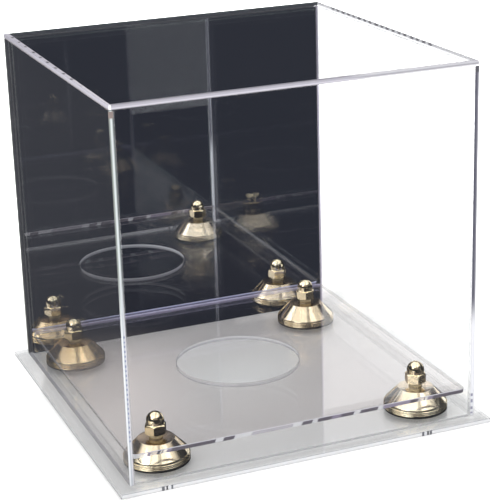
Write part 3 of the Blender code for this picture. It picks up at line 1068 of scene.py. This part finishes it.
class CASE_OT_risers(bpy.types.Operator):
    """Build the four turned brass risers"""

    bl_idname = "case.risers"
    bl_label = "Brass Risers"

    def execute(self, context):
        look = context.scene.case_hardware
        low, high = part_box("riser_front_left")
        outer = (high.x - low.x) / 2
        profile = riser_profile(look, outer, high.z - low.z)
        base = turned_mesh("brass_riser", profile, look.turned_steps, 28.0)
        pale = Vector(look.pale_brass)
        warm = Vector(look.warm_brass)
        meshes = {}
        for corner in CORNERS:
            # Each riser's tone is painted warmer or paler as a painted reflection
            near = pale.lerp(warm, 0.7 * RISER_PAINTED_WARMTH[corner])
            far = pale.lerp(warm, 0.15 + 0.85 * RISER_PAINTED_WARMTH[corner])
            finish = brass_finish("riser_brass_" + corner, tuple(far), tuple(near), look.polish, 9000.0)
            meshes[corner] = base.copy()
            meshes[corner].materials.append(finish)
        stand_at_corners("brass_riser_", "riser_", meshes)
        return {"FINISHED"}


def hexagon_reach(angle, across_flats):
    """How far a hexagon reaches at an angle, with a flat facing angle 0."""
    off = (angle + pi / 6) % (pi / 3) - pi / 6
    return across_flats / 2 / cos(off)


class CASE_OT_screws(bpy.types.Operator):
    """Build the four countersunk screws with their threads"""

    bl_idname = "case.screws"
    bl_label = "Screws"

    def execute(self, context):
        look = context.scene.case_hardware
        low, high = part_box("screw_front_left")
        length = high.z - low.z
        head = (high.x - low.x) / 2
        shank = SHANK_RADIUS
        root = shank - 0.6 * look.thread_pitch
        land = 0.0003
        key_flats = 0.005
        key_mouth = 0.0054
        key_depth = 0.0016
        key_tip = 0.0022
        rim_bevel = 0.00012
        end_bevel = 0.0004
        tip_taper = 0.0012
        cage = bmesh.new()
        rings = [[cage.verts.new((0.0, 0.0, key_tip))]]

        def ring(height, reach):
            rings.append(ring_of_points(cage, 36, reach, height))

        ring(0.0018, lambda angle: 0.7 * hexagon_reach(angle, key_flats))
        ring(key_depth, lambda angle: hexagon_reach(angle, key_flats))
        ring(0.0002, lambda angle: hexagon_reach(angle, key_flats))
        ring(0.0, lambda angle: hexagon_reach(angle, key_mouth))
        ring(0.0, head - rim_bevel)
        ring(0.0001, head)
        ring(land, head)
        ring(land + head - shank, shank)
        slices = 10
        start = land + head - shank
        end = length - end_bevel
        count = int((end - start) / look.thread_pitch * slices)
        for index in range(1, count + 1):
            height = start + (end - start) * index / count
            grow = min(1.0, (height - start) / (1.5 * look.thread_pitch))
            tip = min(1.0, (end - height) / look.thread_pitch + 0.35)

            def reach(angle):
                turn = (height / look.thread_pitch - angle / (2 * pi)) % 1.0
                ridge = min(1.0, 1.25 * abs(2 * turn - 1))
                return shank - (shank - root) * ridge * grow - (1 - tip) * tip_taper

            ring(height, reach)
        ring(length, root - 0.0009)
        rings.append([cage.verts.new((0.0, 0.0, length))])
        stitch(cage, rings)
        mesh = finished(cage, "countersunk_screw", 32.0)
        mesh.materials.append(steel_finish("plated_steel", tuple(look.steel)))
        stand_at_corners("screw_threaded_", "screw_", dict.fromkeys(CORNERS, mesh))
        return {"FINISHED"}


# How far each nut is turned
NUT_TURNS = {
    "front_left": radians(32.5),
    "front_right": radians(47.5),
    "back_left": radians(31.5),
    "back_right": radians(40),
}


class CASE_OT_cap_nuts(bpy.types.Operator):
    """Build the four domed cap nuts"""

    bl_idname = "case.cap_nuts"
    bl_label = "Cap Nuts"

    def execute(self, context):
        look = context.scene.case_hardware
        low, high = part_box("nut_front_left")
        height = high.z - low.z
        flats = 0.013
        hex_top = 0.0065
        dome = 0.006
        bore = 0.004
        bore_bevel = 0.0006
        slope = tan(radians(30))
        circle = flats / 2 - 0.00005
        cage = bmesh.new()
        rings = []

        def ring(level, reach):
            rings.append(ring_of_points(cage, 144, reach, level))

        def corner_drop(angle):
            return (hexagon_reach(angle, flats) - circle) * slope

        ring(bore_bevel, bore)
        ring(0.0, bore + bore_bevel)
        ring(0.0, circle)
        ring(corner_drop, lambda angle: hexagon_reach(angle, flats))
        ring(lambda angle: hex_top - corner_drop(angle), lambda angle: hexagon_reach(angle, flats))
        ring(hex_top, circle)
        ring(hex_top + 0.00008, dome + 0.0002)
        ring(hex_top + 0.0003, dome)
        dome_base = height - dome
        ring(dome_base, dome)
        dome_steps = 18
        for step in range(1, dome_steps):
            turn = pi / 2 * step / dome_steps
            ring(dome_base + dome * sin(turn), dome * cos(turn))
        rings.append([cage.verts.new((0.0, 0.0, height))])
        stitch(cage, rings)
        mesh = finished(cage, "cap_nut", 25.0)
        pale = Vector(look.pale_brass)
        warm = Vector(look.warm_brass)
        far = tuple(pale.lerp(warm, 0.65))
        near = tuple(pale.lerp(warm, 0.2))
        mesh.materials.append(brass_finish("nut_brass", far, near, look.polish * 0.7, 6000.0))
        stand_at_corners("cap_nut_", "nut_", dict.fromkeys(CORNERS, mesh), NUT_TURNS)
        return {"FINISHED"}


class CASE_OT_clear_cover(bpy.types.Operator):
    """Build the four clear panels of the cover"""

    bl_idname = "case.clear_cover"
    bl_label = "Clear Cover"

    def execute(self, context):
        look = context.scene.case_sheet
        joints = context.scene.case_joints
        tint = tuple(look.tint)
        self.add_top(look, joints, tint)
        self.add_left(look, joints, tint)
        self.add_right(look, tint)
        self.add_front(look, tint)
        return {"FINISHED"}

    def add_top(self, look, joints, tint):
        low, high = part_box("cover_top")
        span = (low.z, high.z)
        # The front edge: painted light and shade, with other tones left of about 38 mm from the middle and a painted
        # highlight at its left end
        front = edge_finish(
            "top_front_edge",
            "z",
            span,
            [
                (0.0, 226, 225, 230), (0.28, 218, 217, 222), (0.4, 146, 145, 150), (0.54, 158, 157, 163),
                (0.66, 194, 193, 199), (1.0, 206, 205, 211),
            ],
            [(0.0, 0.8), (0.28, 0.88), (0.4, 1.0), (1.0, 1.0)],
            (
                "x",
                0.038,
                0.012,
                [
                    (0.0, 146, 142, 152), (0.15, 192, 189, 198), (0.34, 212, 209, 219), (0.5, 178, 175, 186),
                    (0.8, 174, 171, 181), (1.0, 140, 137, 148),
                ],
                [(0.0, 1.0), (1.0, 1.0)],
            ),
            marks=[("x", low.x, low.x + 0.0018, (252, 252, 255))],
            light=FRONT_LIGHT,
        )
        # The left edge: a painted shadow line along its foot, painted light above
        left = edge_finish(
            "top_left_edge",
            "z",
            span,
            [
                (0.0, 112, 100, 98), (0.2, 150, 140, 142), (0.36, 192, 188, 199), (0.85, 204, 200, 211),
                (1.0, 204, 201, 212),
            ],
            [(0.0, 1.0), (1.0, 0.95)],
            streak=0.25,
        )
        # The right edge: painted light, with dark dashes where the joint's bubbles lie
        right = edge_finish(
            "top_right_edge",
            "z",
            span,
            [
                (0.0, 214, 213, 218), (0.3, 206, 205, 210), (0.6, 216, 215, 220), (0.9, 206, 205, 210),
                (1.0, 214, 213, 218),
            ],
            [(0.0, 0.4), (0.2, 0.6), (0.34, 0.79), (0.9, 0.8), (1.0, 0.65)],
            rows=[
                ("y", 0.0967, -0.0570, joints.top_right_pitch, 0.0046, 0.25, 0.8, (104, 102, 108)),
            ],
            light=FRONT_LIGHT,
        )
        # The back edge: painted shade, with a lighter grey-green line at its top
        back = edge_finish(
            "top_back_edge",
            "z",
            span,
            [(0.0, 50, 54, 62), (0.72, 56, 62, 68), (0.86, 98, 110, 106), (1.0, 128, 138, 134)],
            [(0.0, 1.0), (1.0, 1.0)],
            light=1.0,
        )
        face = top_finish("top_clear", tint, look.haze, low, (0.1078, -0.0635, joints.top_left_pitch, 0.0034))
        finishes = {"+z": face, "z": clear_finish("top_under_clear", tint, look.haze)}
        finishes.update({"-y": front, "-x": left, "+x": right, "+y": back})
        panel("cover_top", "cover_top_sheet", "cover", finishes, look)

    def add_left(self, look, joints, tint):
        low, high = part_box("cover_left")
        # The front edge: painted light and shade, with lighter tones below about 125 mm, a painted shadow line under
        # the top and blue dashes where the upright joint's bubbles lie
        front = edge_finish(
            "left_front_edge",
            "x",
            (low.x, high.x),
            [
                (0.0, 128, 134, 128), (0.22, 164, 172, 166), (0.42, 224, 232, 232), (0.66, 206, 214, 214),
                (0.86, 84, 92, 92), (1.0, 112, 120, 118),
            ],
            [(0.0, 0.7), (0.3, 0.75), (0.5, 1.0), (1.0, 1.0)],
            (
                "z",
                0.125,
                0.03,
                [
                    (0.0, 216, 221, 228), (0.12, 248, 250, 253), (0.28, 242, 245, 249), (0.42, 186, 192, 201),
                    (0.6, 198, 202, 209), (0.74, 224, 223, 229), (1.0, 196, 193, 198),
                ],
                [(0.0, 0.85), (1.0, 0.95)],
            ),
            marks=[("z", 0.2435, 0.2475, (138, 122, 116))],
            rows=[("z", 0.1050, 0.0356, joints.upright_pitch, 0.0014, 0.44, 0.7, (126, 136, 172))],
            light=FRONT_LIGHT,
        )
        # The bottom edge: painted shade, darker in the middle with lighter lines at its arrises
        bottom = edge_finish(
            "left_bottom_edge",
            "x",
            (low.x, high.x),
            [(0.0, 176, 178, 182), (0.3, 122, 124, 128), (0.75, 104, 106, 112), (1.0, 188, 190, 194)],
            [(0.0, 0.5), (0.4, 0.75), (0.8, 0.8), (1.0, 0.6)],
            streak=0.5,
        )
        # The back edge: painted shade, lighter at its outer side
        back = edge_finish(
            "left_back_edge",
            "x",
            (low.x, high.x),
            [(0.0, 187, 189, 181), (0.22, 124, 128, 124), (0.36, 38, 41, 46), (1.0, 32, 36, 41)],
            [(0.0, 0.7), (0.36, 1.0), (1.0, 1.0)],
            light=1.0,
        )
        clear = clear_finish("left_clear", tint, look.haze)
        finishes = {"x": clear, "-y": front, "+y": back, "-z": bottom}
        panel("cover_left", "cover_left_sheet", "cover", finishes, look)

    def add_right(self, look, tint):
        low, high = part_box("cover_right")
        # The front edge: painted shade, mostly navy above about 80 mm and light below, with a painted shadow line
        # under the top and darker dashes low down where the joint's bubbles lie
        navy = (60, 60, 80)
        front = edge_finish(
            "right_front_edge",
            "x",
            (low.x, high.x),
            [(0.0, 84, 83, 100), (0.1, *navy), (0.52, 76, 76, 90), (0.66, 130, 130, 140), (1.0, 172, 172, 178)],
            [(0.0, 1.0), (1.0, 1.0)],
            (
                "z", 0.080, 0.012,
                [(0.0, 216, 216, 220), (0.4, 236, 237, 243), (0.7, 224, 225, 231), (1.0, 228, 229, 233)],
                [(0.0, 0.9), (1.0, 0.88)],
            ),
            marks=[("z", 0.2440, 0.2490, (66, 66, 72))],
            rows=[("z", 0.0190, 0.0077, 0.0046, 0.0022, 0.1, 0.6, (140, 140, 160))],
            light=FRONT_LIGHT,
        )
        # The bottom edge is painted light and the back edge painted grey-lavender shade
        bottom = edge_finish(
            "right_bottom_edge",
            "x",
            (low.x, high.x),
            [(0.0, 206, 208, 212), (0.5, 230, 231, 234), (1.0, 206, 208, 211)],
            [(0.0, 0.15), (1.0, 0.15)],
            streak=0.03,
        )
        back = edge_finish(
            "right_back_edge",
            "x",
            (low.x, high.x),
            [(0.0, 142, 137, 152), (0.5, 128, 123, 138), (0.8, 150, 145, 158), (1.0, 206, 204, 212)],
            [(0.0, 1.0), (0.8, 1.0), (1.0, 0.9)],
            light=0.45,
        )
        clear = clear_finish("right_clear", tint, look.haze)
        finishes = {"x": clear, "-y": front, "+y": back, "-z": bottom}
        panel("cover_right", "cover_right_sheet", "cover", finishes, look)

    def add_front(self, look, tint):
        low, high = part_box("cover_front")
        # The bottom and end edges are painted light and shade; the bottom edge is darker towards the back
        bottom = edge_finish(
            "front_bottom_edge",
            "y",
            (low.y, high.y),
            [(0.0, 214, 216, 218), (0.4, 186, 188, 191), (0.8, 158, 160, 164), (1.0, 196, 198, 201)],
            [(0.0, 0.5), (0.6, 0.6), (1.0, 0.5)],
            light=FRONT_LIGHT,
        )
        end = edge_finish(
            "front_end_edge",
            "y",
            (low.y, high.y),
            [(0.0, 236, 240, 242), (1.0, 170, 176, 178)],
            [(0.0, 0.2), (1.0, 0.15)],
        )
        clear = clear_finish("front_clear", tint, look.haze)
        finishes = {"y": clear, "-x": end, "+x": end, "-z": bottom}
        panel("cover_front", "cover_front_sheet", "cover", finishes, look)


class CASE_OT_mirror(bpy.types.Operator):
    """Build the mirror panel at the back of the cover"""

    bl_idname = "case.mirror"
    bl_label = "Mirror"

    def execute(self, context):
        look = context.scene.case_sheet
        colours = context.scene.case_mirror
        low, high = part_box("mirror_back")
        # The mirror's edges are painted shade: dark, lighter towards the back
        left = edge_finish(
            "mirror_left_edge",
            "y",
            (low.y, high.y),
            [(0.0, 22, 25, 29), (0.6, 34, 38, 42), (1.0, 70, 78, 78)],
            [(0.0, 1.0), (1.0, 1.0)],
        )
        top = edge_finish(
            "mirror_top_edge",
            "y",
            (low.y, high.y),
            [(0.0, 46, 50, 56), (0.7, 64, 70, 74), (1.0, 96, 106, 102)],
            [(0.0, 1.0), (1.0, 1.0)],
        )
        finishes = {
            "-y": mirror_finish("silvered_face", tuple(colours.silver)),
            "+y": backing_finish("backing_paint", tuple(colours.backing)),
            "edge": left,
            "+z": top,
        }
        panel("mirror_back", "mirror_sheet", "cover", finishes, look)
        return {"FINISHED"}


class CASE_OT_cement_joints(bpy.types.Operator):
    """Lay the cement lines between the cover's panels, with their bubbles"""

    bl_idname = "case.cement_joints"
    bl_label = "Cement Joints"

    def execute(self, context):
        look = context.scene.case_joints
        self.cement = cement_finish("solvent_cement", look.cover, tone(206, 205, 212))
        self.dark_cement = cement_finish("mirror_cement", 1.8, tone(34, 37, 42))
        self.bubble = bubble_finish("joint_bubble", tone(22, 24, 30))
        self.blue_bubble = bubble_finish("upright_bubble", tone(50, 60, 104))
        self.chance = Random(7)
        self.wander = (0.00008, 0.00035)
        top_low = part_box("cover_top")[0]
        left_low, left_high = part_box("cover_left")
        right_low, right_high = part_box("cover_right")
        front_low, front_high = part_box("cover_front")
        back_low, back_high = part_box("mirror_back")
        level = (left_high.z, top_low.z)
        front, back = left_low.y, left_high.y
        spots = self.row(0.112, -0.068, look.top_left_pitch)
        self.flat_joint("joint_top_left", "y", (left_low.x, left_high.x), (front, back), level, spots, 0.75, 0.0011)
        self.flat_joint("joint_top_right", "y", (right_low.x, right_high.x), (front, back), level, [], 0.5, 0.001)
        self.flat_joint(
            "joint_top_front", "x", (front_low.y, front_high.y), (front_low.x, front_high.x), level, [], 0.5, 0.001
        )
        rise = (front_low.z, front_high.z)
        left_gap = (left_high.x, front_low.x)
        right_gap = (front_high.x, right_low.x)
        spots = self.row(0.106, 0.034, look.upright_pitch)
        self.upright_joint("joint_front_left", left_gap, (front_low.y, front_high.y), rise, spots, 0.0009)
        spots = [0.0285, 0.0262, 0.0195, 0.0155, 0.009, 0.0072]
        self.upright_joint("joint_front_right", right_gap, (front_low.y, front_high.y), rise, spots, 0.0006)
        self.cement = self.dark_cement
        self.wander = (0.0, 0.00004)
        self.flat_joint(
            "joint_top_back", "x", (back_low.y, back_high.y), (back_low.x, back_high.x), level, [], 0.5, 0.001
        )
        self.upright_joint("joint_back_left", left_gap, (back_low.y, back_high.y), rise, [], 0.001)
        self.upright_joint("joint_back_right", right_gap, (back_low.y, back_high.y), rise, [], 0.001)
        return {"FINISHED"}

    def row(self, start, end, pitch):
        """Places along a joint, about a pitch apart."""
        count = int(abs(end - start) / pitch) + 1
        step = pitch if end > start else -pitch
        return [start + step * index + self.chance.uniform(-0.06, 0.06) * pitch for index in range(count)]

    def flat_joint(self, name, run, width, length, level, spots, inner, size):
        """A lying joint, which runs along x or y between two panels, one over the other."""
        cage = bmesh.new()
        gap = level[1] - level[0]
        low, high = level[0] + 0.05 * gap, level[1] - 0.05 * gap
        self.strip(cage, run, width, length, (low, high), "z")
        self.bubbles(
            cage, run, "z", width[0] + inner * (width[1] - width[0]), (low + high) / 2, spots, size, 0.4 * gap
        )
        self.settle(cage, name, self.bubble)

    def upright_joint(self, name, gap, width, length, spots, size):
        """A standing joint between the ends of two panels."""
        cage = bmesh.new()
        spare = 0.05 * (gap[1] - gap[0])
        self.strip(cage, "z", width, length, (gap[0] + spare, gap[1] - spare), "x")
        middle_y = width[0] + 0.45 * (width[1] - width[0])
        self.bubbles(cage, "z", "x", middle_y, (gap[0] + gap[1]) / 2, spots, size, 0.4 * (gap[1] - gap[0]))
        self.settle(cage, name, self.blue_bubble)

    def strip(self, cage, run, width, length, depth, through):
        """The cement itself, a thin strip whose sides wander a little."""
        count = 60
        rows = []
        for index in range(count + 1):
            along = length[0] + 0.0004 + (length[1] - length[0] - 0.0008) * index / count
            sides = [
                width[0] + self.chance.uniform(*self.wander),
                width[1] - self.chance.uniform(*self.wander),
            ]
            row = []
            for across, thick in (
                (sides[0], depth[0]), (sides[1], depth[0]), (sides[1], depth[1]), (sides[0], depth[1])
            ):
                row.append(cage.verts.new(self.point(run, through, along, across, thick)))
            rows.append(row)
        stitch(cage, rows)
        cage.faces.new(rows[0])
        cage.faces.new(rows[-1])

    def point(self, run, through, along, across, thick):
        """A point of a joint from its own three measures."""
        spare = ({"x", "y", "z"} - {run, through}).pop()
        values = {run: along, spare: across, through: thick}
        return Vector((values["x"], values["y"], values["z"]))

    def bubbles(self, cage, run, through, across, thick, spots, size, depth):
        """Flat lens-shaped bubbles along a joint."""
        for spot in spots:
            long = size * self.chance.uniform(0.8, 1.2)
            wide = size * self.chance.uniform(0.45, 0.65)
            shift = self.chance.uniform(-0.0002, 0.0002)
            rings = [[cage.verts.new(self.point(run, through, spot, across + shift, thick - depth))]]
            for level, share in ((-0.8, 0.6), (-0.4, 0.9), (0.0, 1.0), (0.4, 0.9), (0.8, 0.6)):
                ring = []
                for step in range(16):
                    angle = 2 * pi * step / 16
                    along = spot + long * share * cos(angle)
                    side = across + shift + wide * share * sin(angle)
                    ring.append(cage.verts.new(self.point(run, through, along, side, thick + level * depth)))
                rings.append(ring)
            rings.append([cage.verts.new(self.point(run, through, spot, across + shift, thick + depth))])
            known = set(cage.faces)
            stitch(cage, rings)
            for face in cage.faces:
                if face not in known:
                    face.material_index = 1

    def settle(self, cage, name, bubble):
        mesh = finished(cage, name, 40.0)
        mesh.materials.append(self.cement)
        mesh.materials.append(bubble)
        add_piece(name, mesh, "cover")


# The x and y shares of the way to the right across the picture, and the light of the pale ceiling
STUDIO_ACROSS = (0.93, 0.366)
CEILING_LIGHT = (1.9, 1.87, 1.8)
# The white card's ends, its place behind the case, its height and its light
CARD_ENDS = (0.13, 1.6)
CARD_BACK = 0.34
CARD_HEIGHT = 0.245
CARD_LIGHT = 1.45


class CASE_OT_stage(bpy.types.Operator):
    """Set the pale floor, the soft studio light and the camera"""

    bl_idname = "case.stage"
    bl_label = "Stage"

    def execute(self, context):
        look = context.scene.case_stage
        scene = context.scene
        scene.view_settings.view_transform = "Standard"
        scene.cycles.transparent_max_bounces = 64
        self.add_floor(look)
        self.add_back_card()
        self.add_surroundings(scene, look)
        self.add_lamps(look)
        self.add_camera(scene, look)
        return {"FINISHED"}

    def add_floor(self, look):
        cage = bmesh.new()
        rings = [[cage.verts.new((0.0, 0.0, 0.0))]]
        rings += [ring_of_points(cage, 64, reach, 0.0) for reach in (0.3, 1.0, 3.0, look.floor_reach)]
        stitch(cage, rings)
        mesh = finished(cage, "studio_floor", 30.0)
        finish = new_finish("pale_floor")
        place = finish.point()
        x, y = finish.axes(place)[:2]
        paper = finish.blotch(place, 3.0, 3.0)
        away = finish.math("MAXIMUM", abs(x), abs(y))
        # Painted light on the floor: its glow is brighter outside the base plate, brighter still to the right and
        # behind the case, and in a strip under the base's left margin it is painted darker as shadow, and lighter at
        # the strip's back end.
        lit = finish.fade(away, 0.135, 0.17)
        far = finish.fade(away, 0.2, 0.5) * finish.fade(y, -0.3, 0.3)
        side = 0.93 * x - 0.369 * y
        strip = finish.fade(-1 * x, 0.1195, 0.1225) * (1 - lit)
        corner = 1 - finish.fade(side, -0.147, -0.143)
        outside = look.rim_light * lit * (1 + 2.5 * finish.fade(x, 0.0, 0.12))
        glow = look.table_light + outside + look.back_light * far + strip * (0.28 * corner - 0.12)
        inputs = {
            "Base Color": finish.mix(0.1 * paper, tuple(look.floor), tone(235, 235, 236)),
            "Roughness": 0.9,
            "Emission Color": finish.node("CombineXYZ", inputs={0: glow, 1: glow, 2: glow}),
            "Emission Strength": 1.0,
        }
        mesh.materials.append(finish.show(finish.node("BsdfPrincipled", inputs=inputs)))
        floor = bpy.data.objects.new("studio_floor", mesh)
        floor.location.z = -0.0003
        floor.visible_glossy = False
        bpy.context.scene.collection.objects.link(floor)

    def add_back_card(self):
        """A low white card at the right behind the case, which only its polished faces see."""
        cage = bmesh.new()
        left, right = CARD_ENDS
        corners = [(left, CARD_BACK, 0.0), (right, CARD_BACK, 0.0)]
        corners += [(right, CARD_BACK, CARD_HEIGHT), (left, CARD_BACK, CARD_HEIGHT)]
        cage.faces.new([cage.verts.new(corner) for corner in corners])
        mesh = finished(cage, "white_card", 30.0)
        finish = new_finish("white_card")
        white = finish.node("Emission", inputs={"Color": (1.0, 1.0, 1.0), "Strength": CARD_LIGHT})
        mesh.materials.append(finish.show(white))
        card = bpy.data.objects.new("white_card", mesh)
        card.visible_camera = False
        card.visible_diffuse = False
        card.visible_shadow = False
        card.visible_transmission = False
        bpy.context.scene.collection.objects.link(card)

    def add_surroundings(self, scene, look):
        """Even white light for matt surfaces, and a dim room with a pale ceiling for polished ones."""
        world = bpy.data.worlds.new("studio")
        scene.world = world
        finish = Finish(world)
        x, y, z = finish.axes(finish.node("TexCoord", output="Generated"))
        across, along = STUDIO_ACROSS
        side = across * x - along * y
        ahead = along * x + across * y
        strips = (1 - 0.65 * finish.band(side, 0.1, 0.22, 0.05)) * (1 - 0.35 * finish.fade(side, 0.3, 0.5))
        ceiling = finish.fade(z, 0.56, 0.74) * strips
        table = finish.fade(-1 * z, 0.03, 0.2)
        left_front = table * finish.fade(-1 * side, 0.1, 0.5) * finish.fade(-1 * ahead, -0.25, 0.2)
        left_back = table * finish.fade(-1 * side, 0.3, 0.6) * finish.fade(ahead, 0.25, 0.6)
        wall = finish.band(z, 0.392, 0.44, 0.034) * (1 - 0.5 * finish.fade(z, 0.405, 0.428))
        wall = wall * finish.fade(-1 * ahead, 0.3, 0.6) * (1 - finish.fade(x, 0.25, 0.34))
        low_back = finish.fade(-1 * z, 0.37, 0.43) * finish.fade(-1 * side, 0.2, 0.4) * finish.fade(ahead, 0.25, 0.6)
        room = finish.mix(left_back, tone(*look.room), tone(72, 73, 78))
        room = finish.mix(low_back, room, (0.5, 0.47, 0.46))
        window = finish.mix(finish.fade(-1 * ahead, 0.35, 0.65), (0.9, 0.82, 0.7), (1.9, 1.86, 1.8))
        room = finish.mix(wall, room, (1.0, 0.87, 0.8))
        room = finish.mix(left_front, room, window)
        room = finish.mix(ceiling, room, CEILING_LIGHT)
        light = finish.node("Background", inputs={"Color": (1.0, 1.0, 1.0), "Strength": look.daylight})
        studio = finish.node("Background", inputs={"Color": room, "Strength": 1.0})
        gloss = finish.node("LightPath", output="Is Glossy Ray")
        depth = finish.node("LightPath", output="Diffuse Depth")
        direct = gloss * finish.math("LESS_THAN", depth, 0.5)
        output = finish.tree.nodes.new("ShaderNodeOutputWorld")
        finish.tree.links.new(finish.blend(direct, light, studio).socket, output.inputs["Surface"])

    def add_lamps(self, look):
        self.lamp("key_lamp", look.key, (0.75, 0.75), -64.0, 36.5, 1.5)
        self.lamp("fill_lamp", look.fill, (0.4, 0.5), 36.0, 57.0, 1.5)

    def lamp(self, name, power, size, azimuth, elevation, distance):
        """A soft rectangular lamp that points at the case."""
        data = bpy.data.lights.new(name, "AREA")
        data.shape = "RECTANGLE"
        data.size, data.size_y = size
        data.energy = power
        turn, rise = radians(azimuth), radians(elevation)
        aim = Vector((0.0, 0.0, 0.08))
        away = Vector((sin(turn) * cos(rise), -cos(turn) * cos(rise), sin(rise)))
        obj = bpy.data.objects.new(name, data)
        obj.location = aim + distance * away
        obj.rotation_euler = away.to_track_quat("Z", "Y").to_euler()
        bpy.context.scene.collection.objects.link(obj)

    def add_camera(self, scene, look):
        az, el, roll = look.azimuth, look.elevation, look.roll
        ahead = Vector((-sin(az) * cos(el), cos(az) * cos(el), -sin(el)))
        right = Vector((cos(az), sin(az), 0.0))
        up = right.cross(ahead)
        side = right * cos(roll) + up * sin(roll)
        lift = up * cos(roll) - right * sin(roll)
        turn = Matrix((side, lift, -ahead)).transposed().to_4x4()
        data = bpy.data.cameras.new("camera")
        data.lens = look.lens
        data.sensor_width = 36.0
        data.clip_end = 100.0
        camera = bpy.data.objects.new("camera", data)
        camera.matrix_world = Matrix.Translation(Vector(look.target) - ahead * look.distance) @ turn
        scene.collection.objects.link(camera)
        scene.camera = camera


# ----------------------------------------------------------------------- panel


class CASE_PT_display_case(bpy.types.Panel):
    """Buttons and settings for the display case"""

    bl_idname = "CASE_PT_display_case"
    bl_label = "Display Case"
    bl_space_type = "VIEW_3D"
    bl_region_type = "UI"
    bl_category = "Display Case"

    def draw(self, context):
        for step in STEPS:
            self.layout.operator(step.bl_idname)
        for name in SETTINGS:
            group = getattr(context.scene, name)
            box = self.layout.box()
            for key in group.__annotations__:
                box.prop(group, key)


STEPS = (
    CASE_OT_base_plate,
    CASE_OT_platform,
    CASE_OT_rubber_rings,
    CASE_OT_risers,
    CASE_OT_screws,
    CASE_OT_cap_nuts,
    CASE_OT_clear_cover,
    CASE_OT_mirror,
    CASE_OT_cement_joints,
    CASE_OT_stage,
)
SETTINGS = {
    "case_sheet": CaseSheetSettings,
    "case_joints": CaseJointSettings,
    "case_hardware": CaseHardwareSettings,
    "case_mirror": CaseMirrorSettings,
    "case_stage": CaseStageSettings,
}


def register():
    for name, group in SETTINGS.items():
        bpy.utils.register_class(group)
        setattr(bpy.types.Scene, name, PointerProperty(type=group))
    for step in STEPS:
        bpy.utils.register_class(step)
    bpy.utils.register_class(CASE_PT_display_case)


def unregister():
    bpy.utils.unregister_class(CASE_PT_display_case)
    for step in reversed(STEPS):
        bpy.utils.unregister_class(step)
    for name, group in SETTINGS.items():
        delattr(bpy.types.Scene, name)
        bpy.utils.unregister_class(group)


def main():
    register()
    for step in STEPS:
        group, action = step.bl_idname.split(".")
        getattr(getattr(bpy.ops, group), action)()


if __name__ == "__main__":
    main()
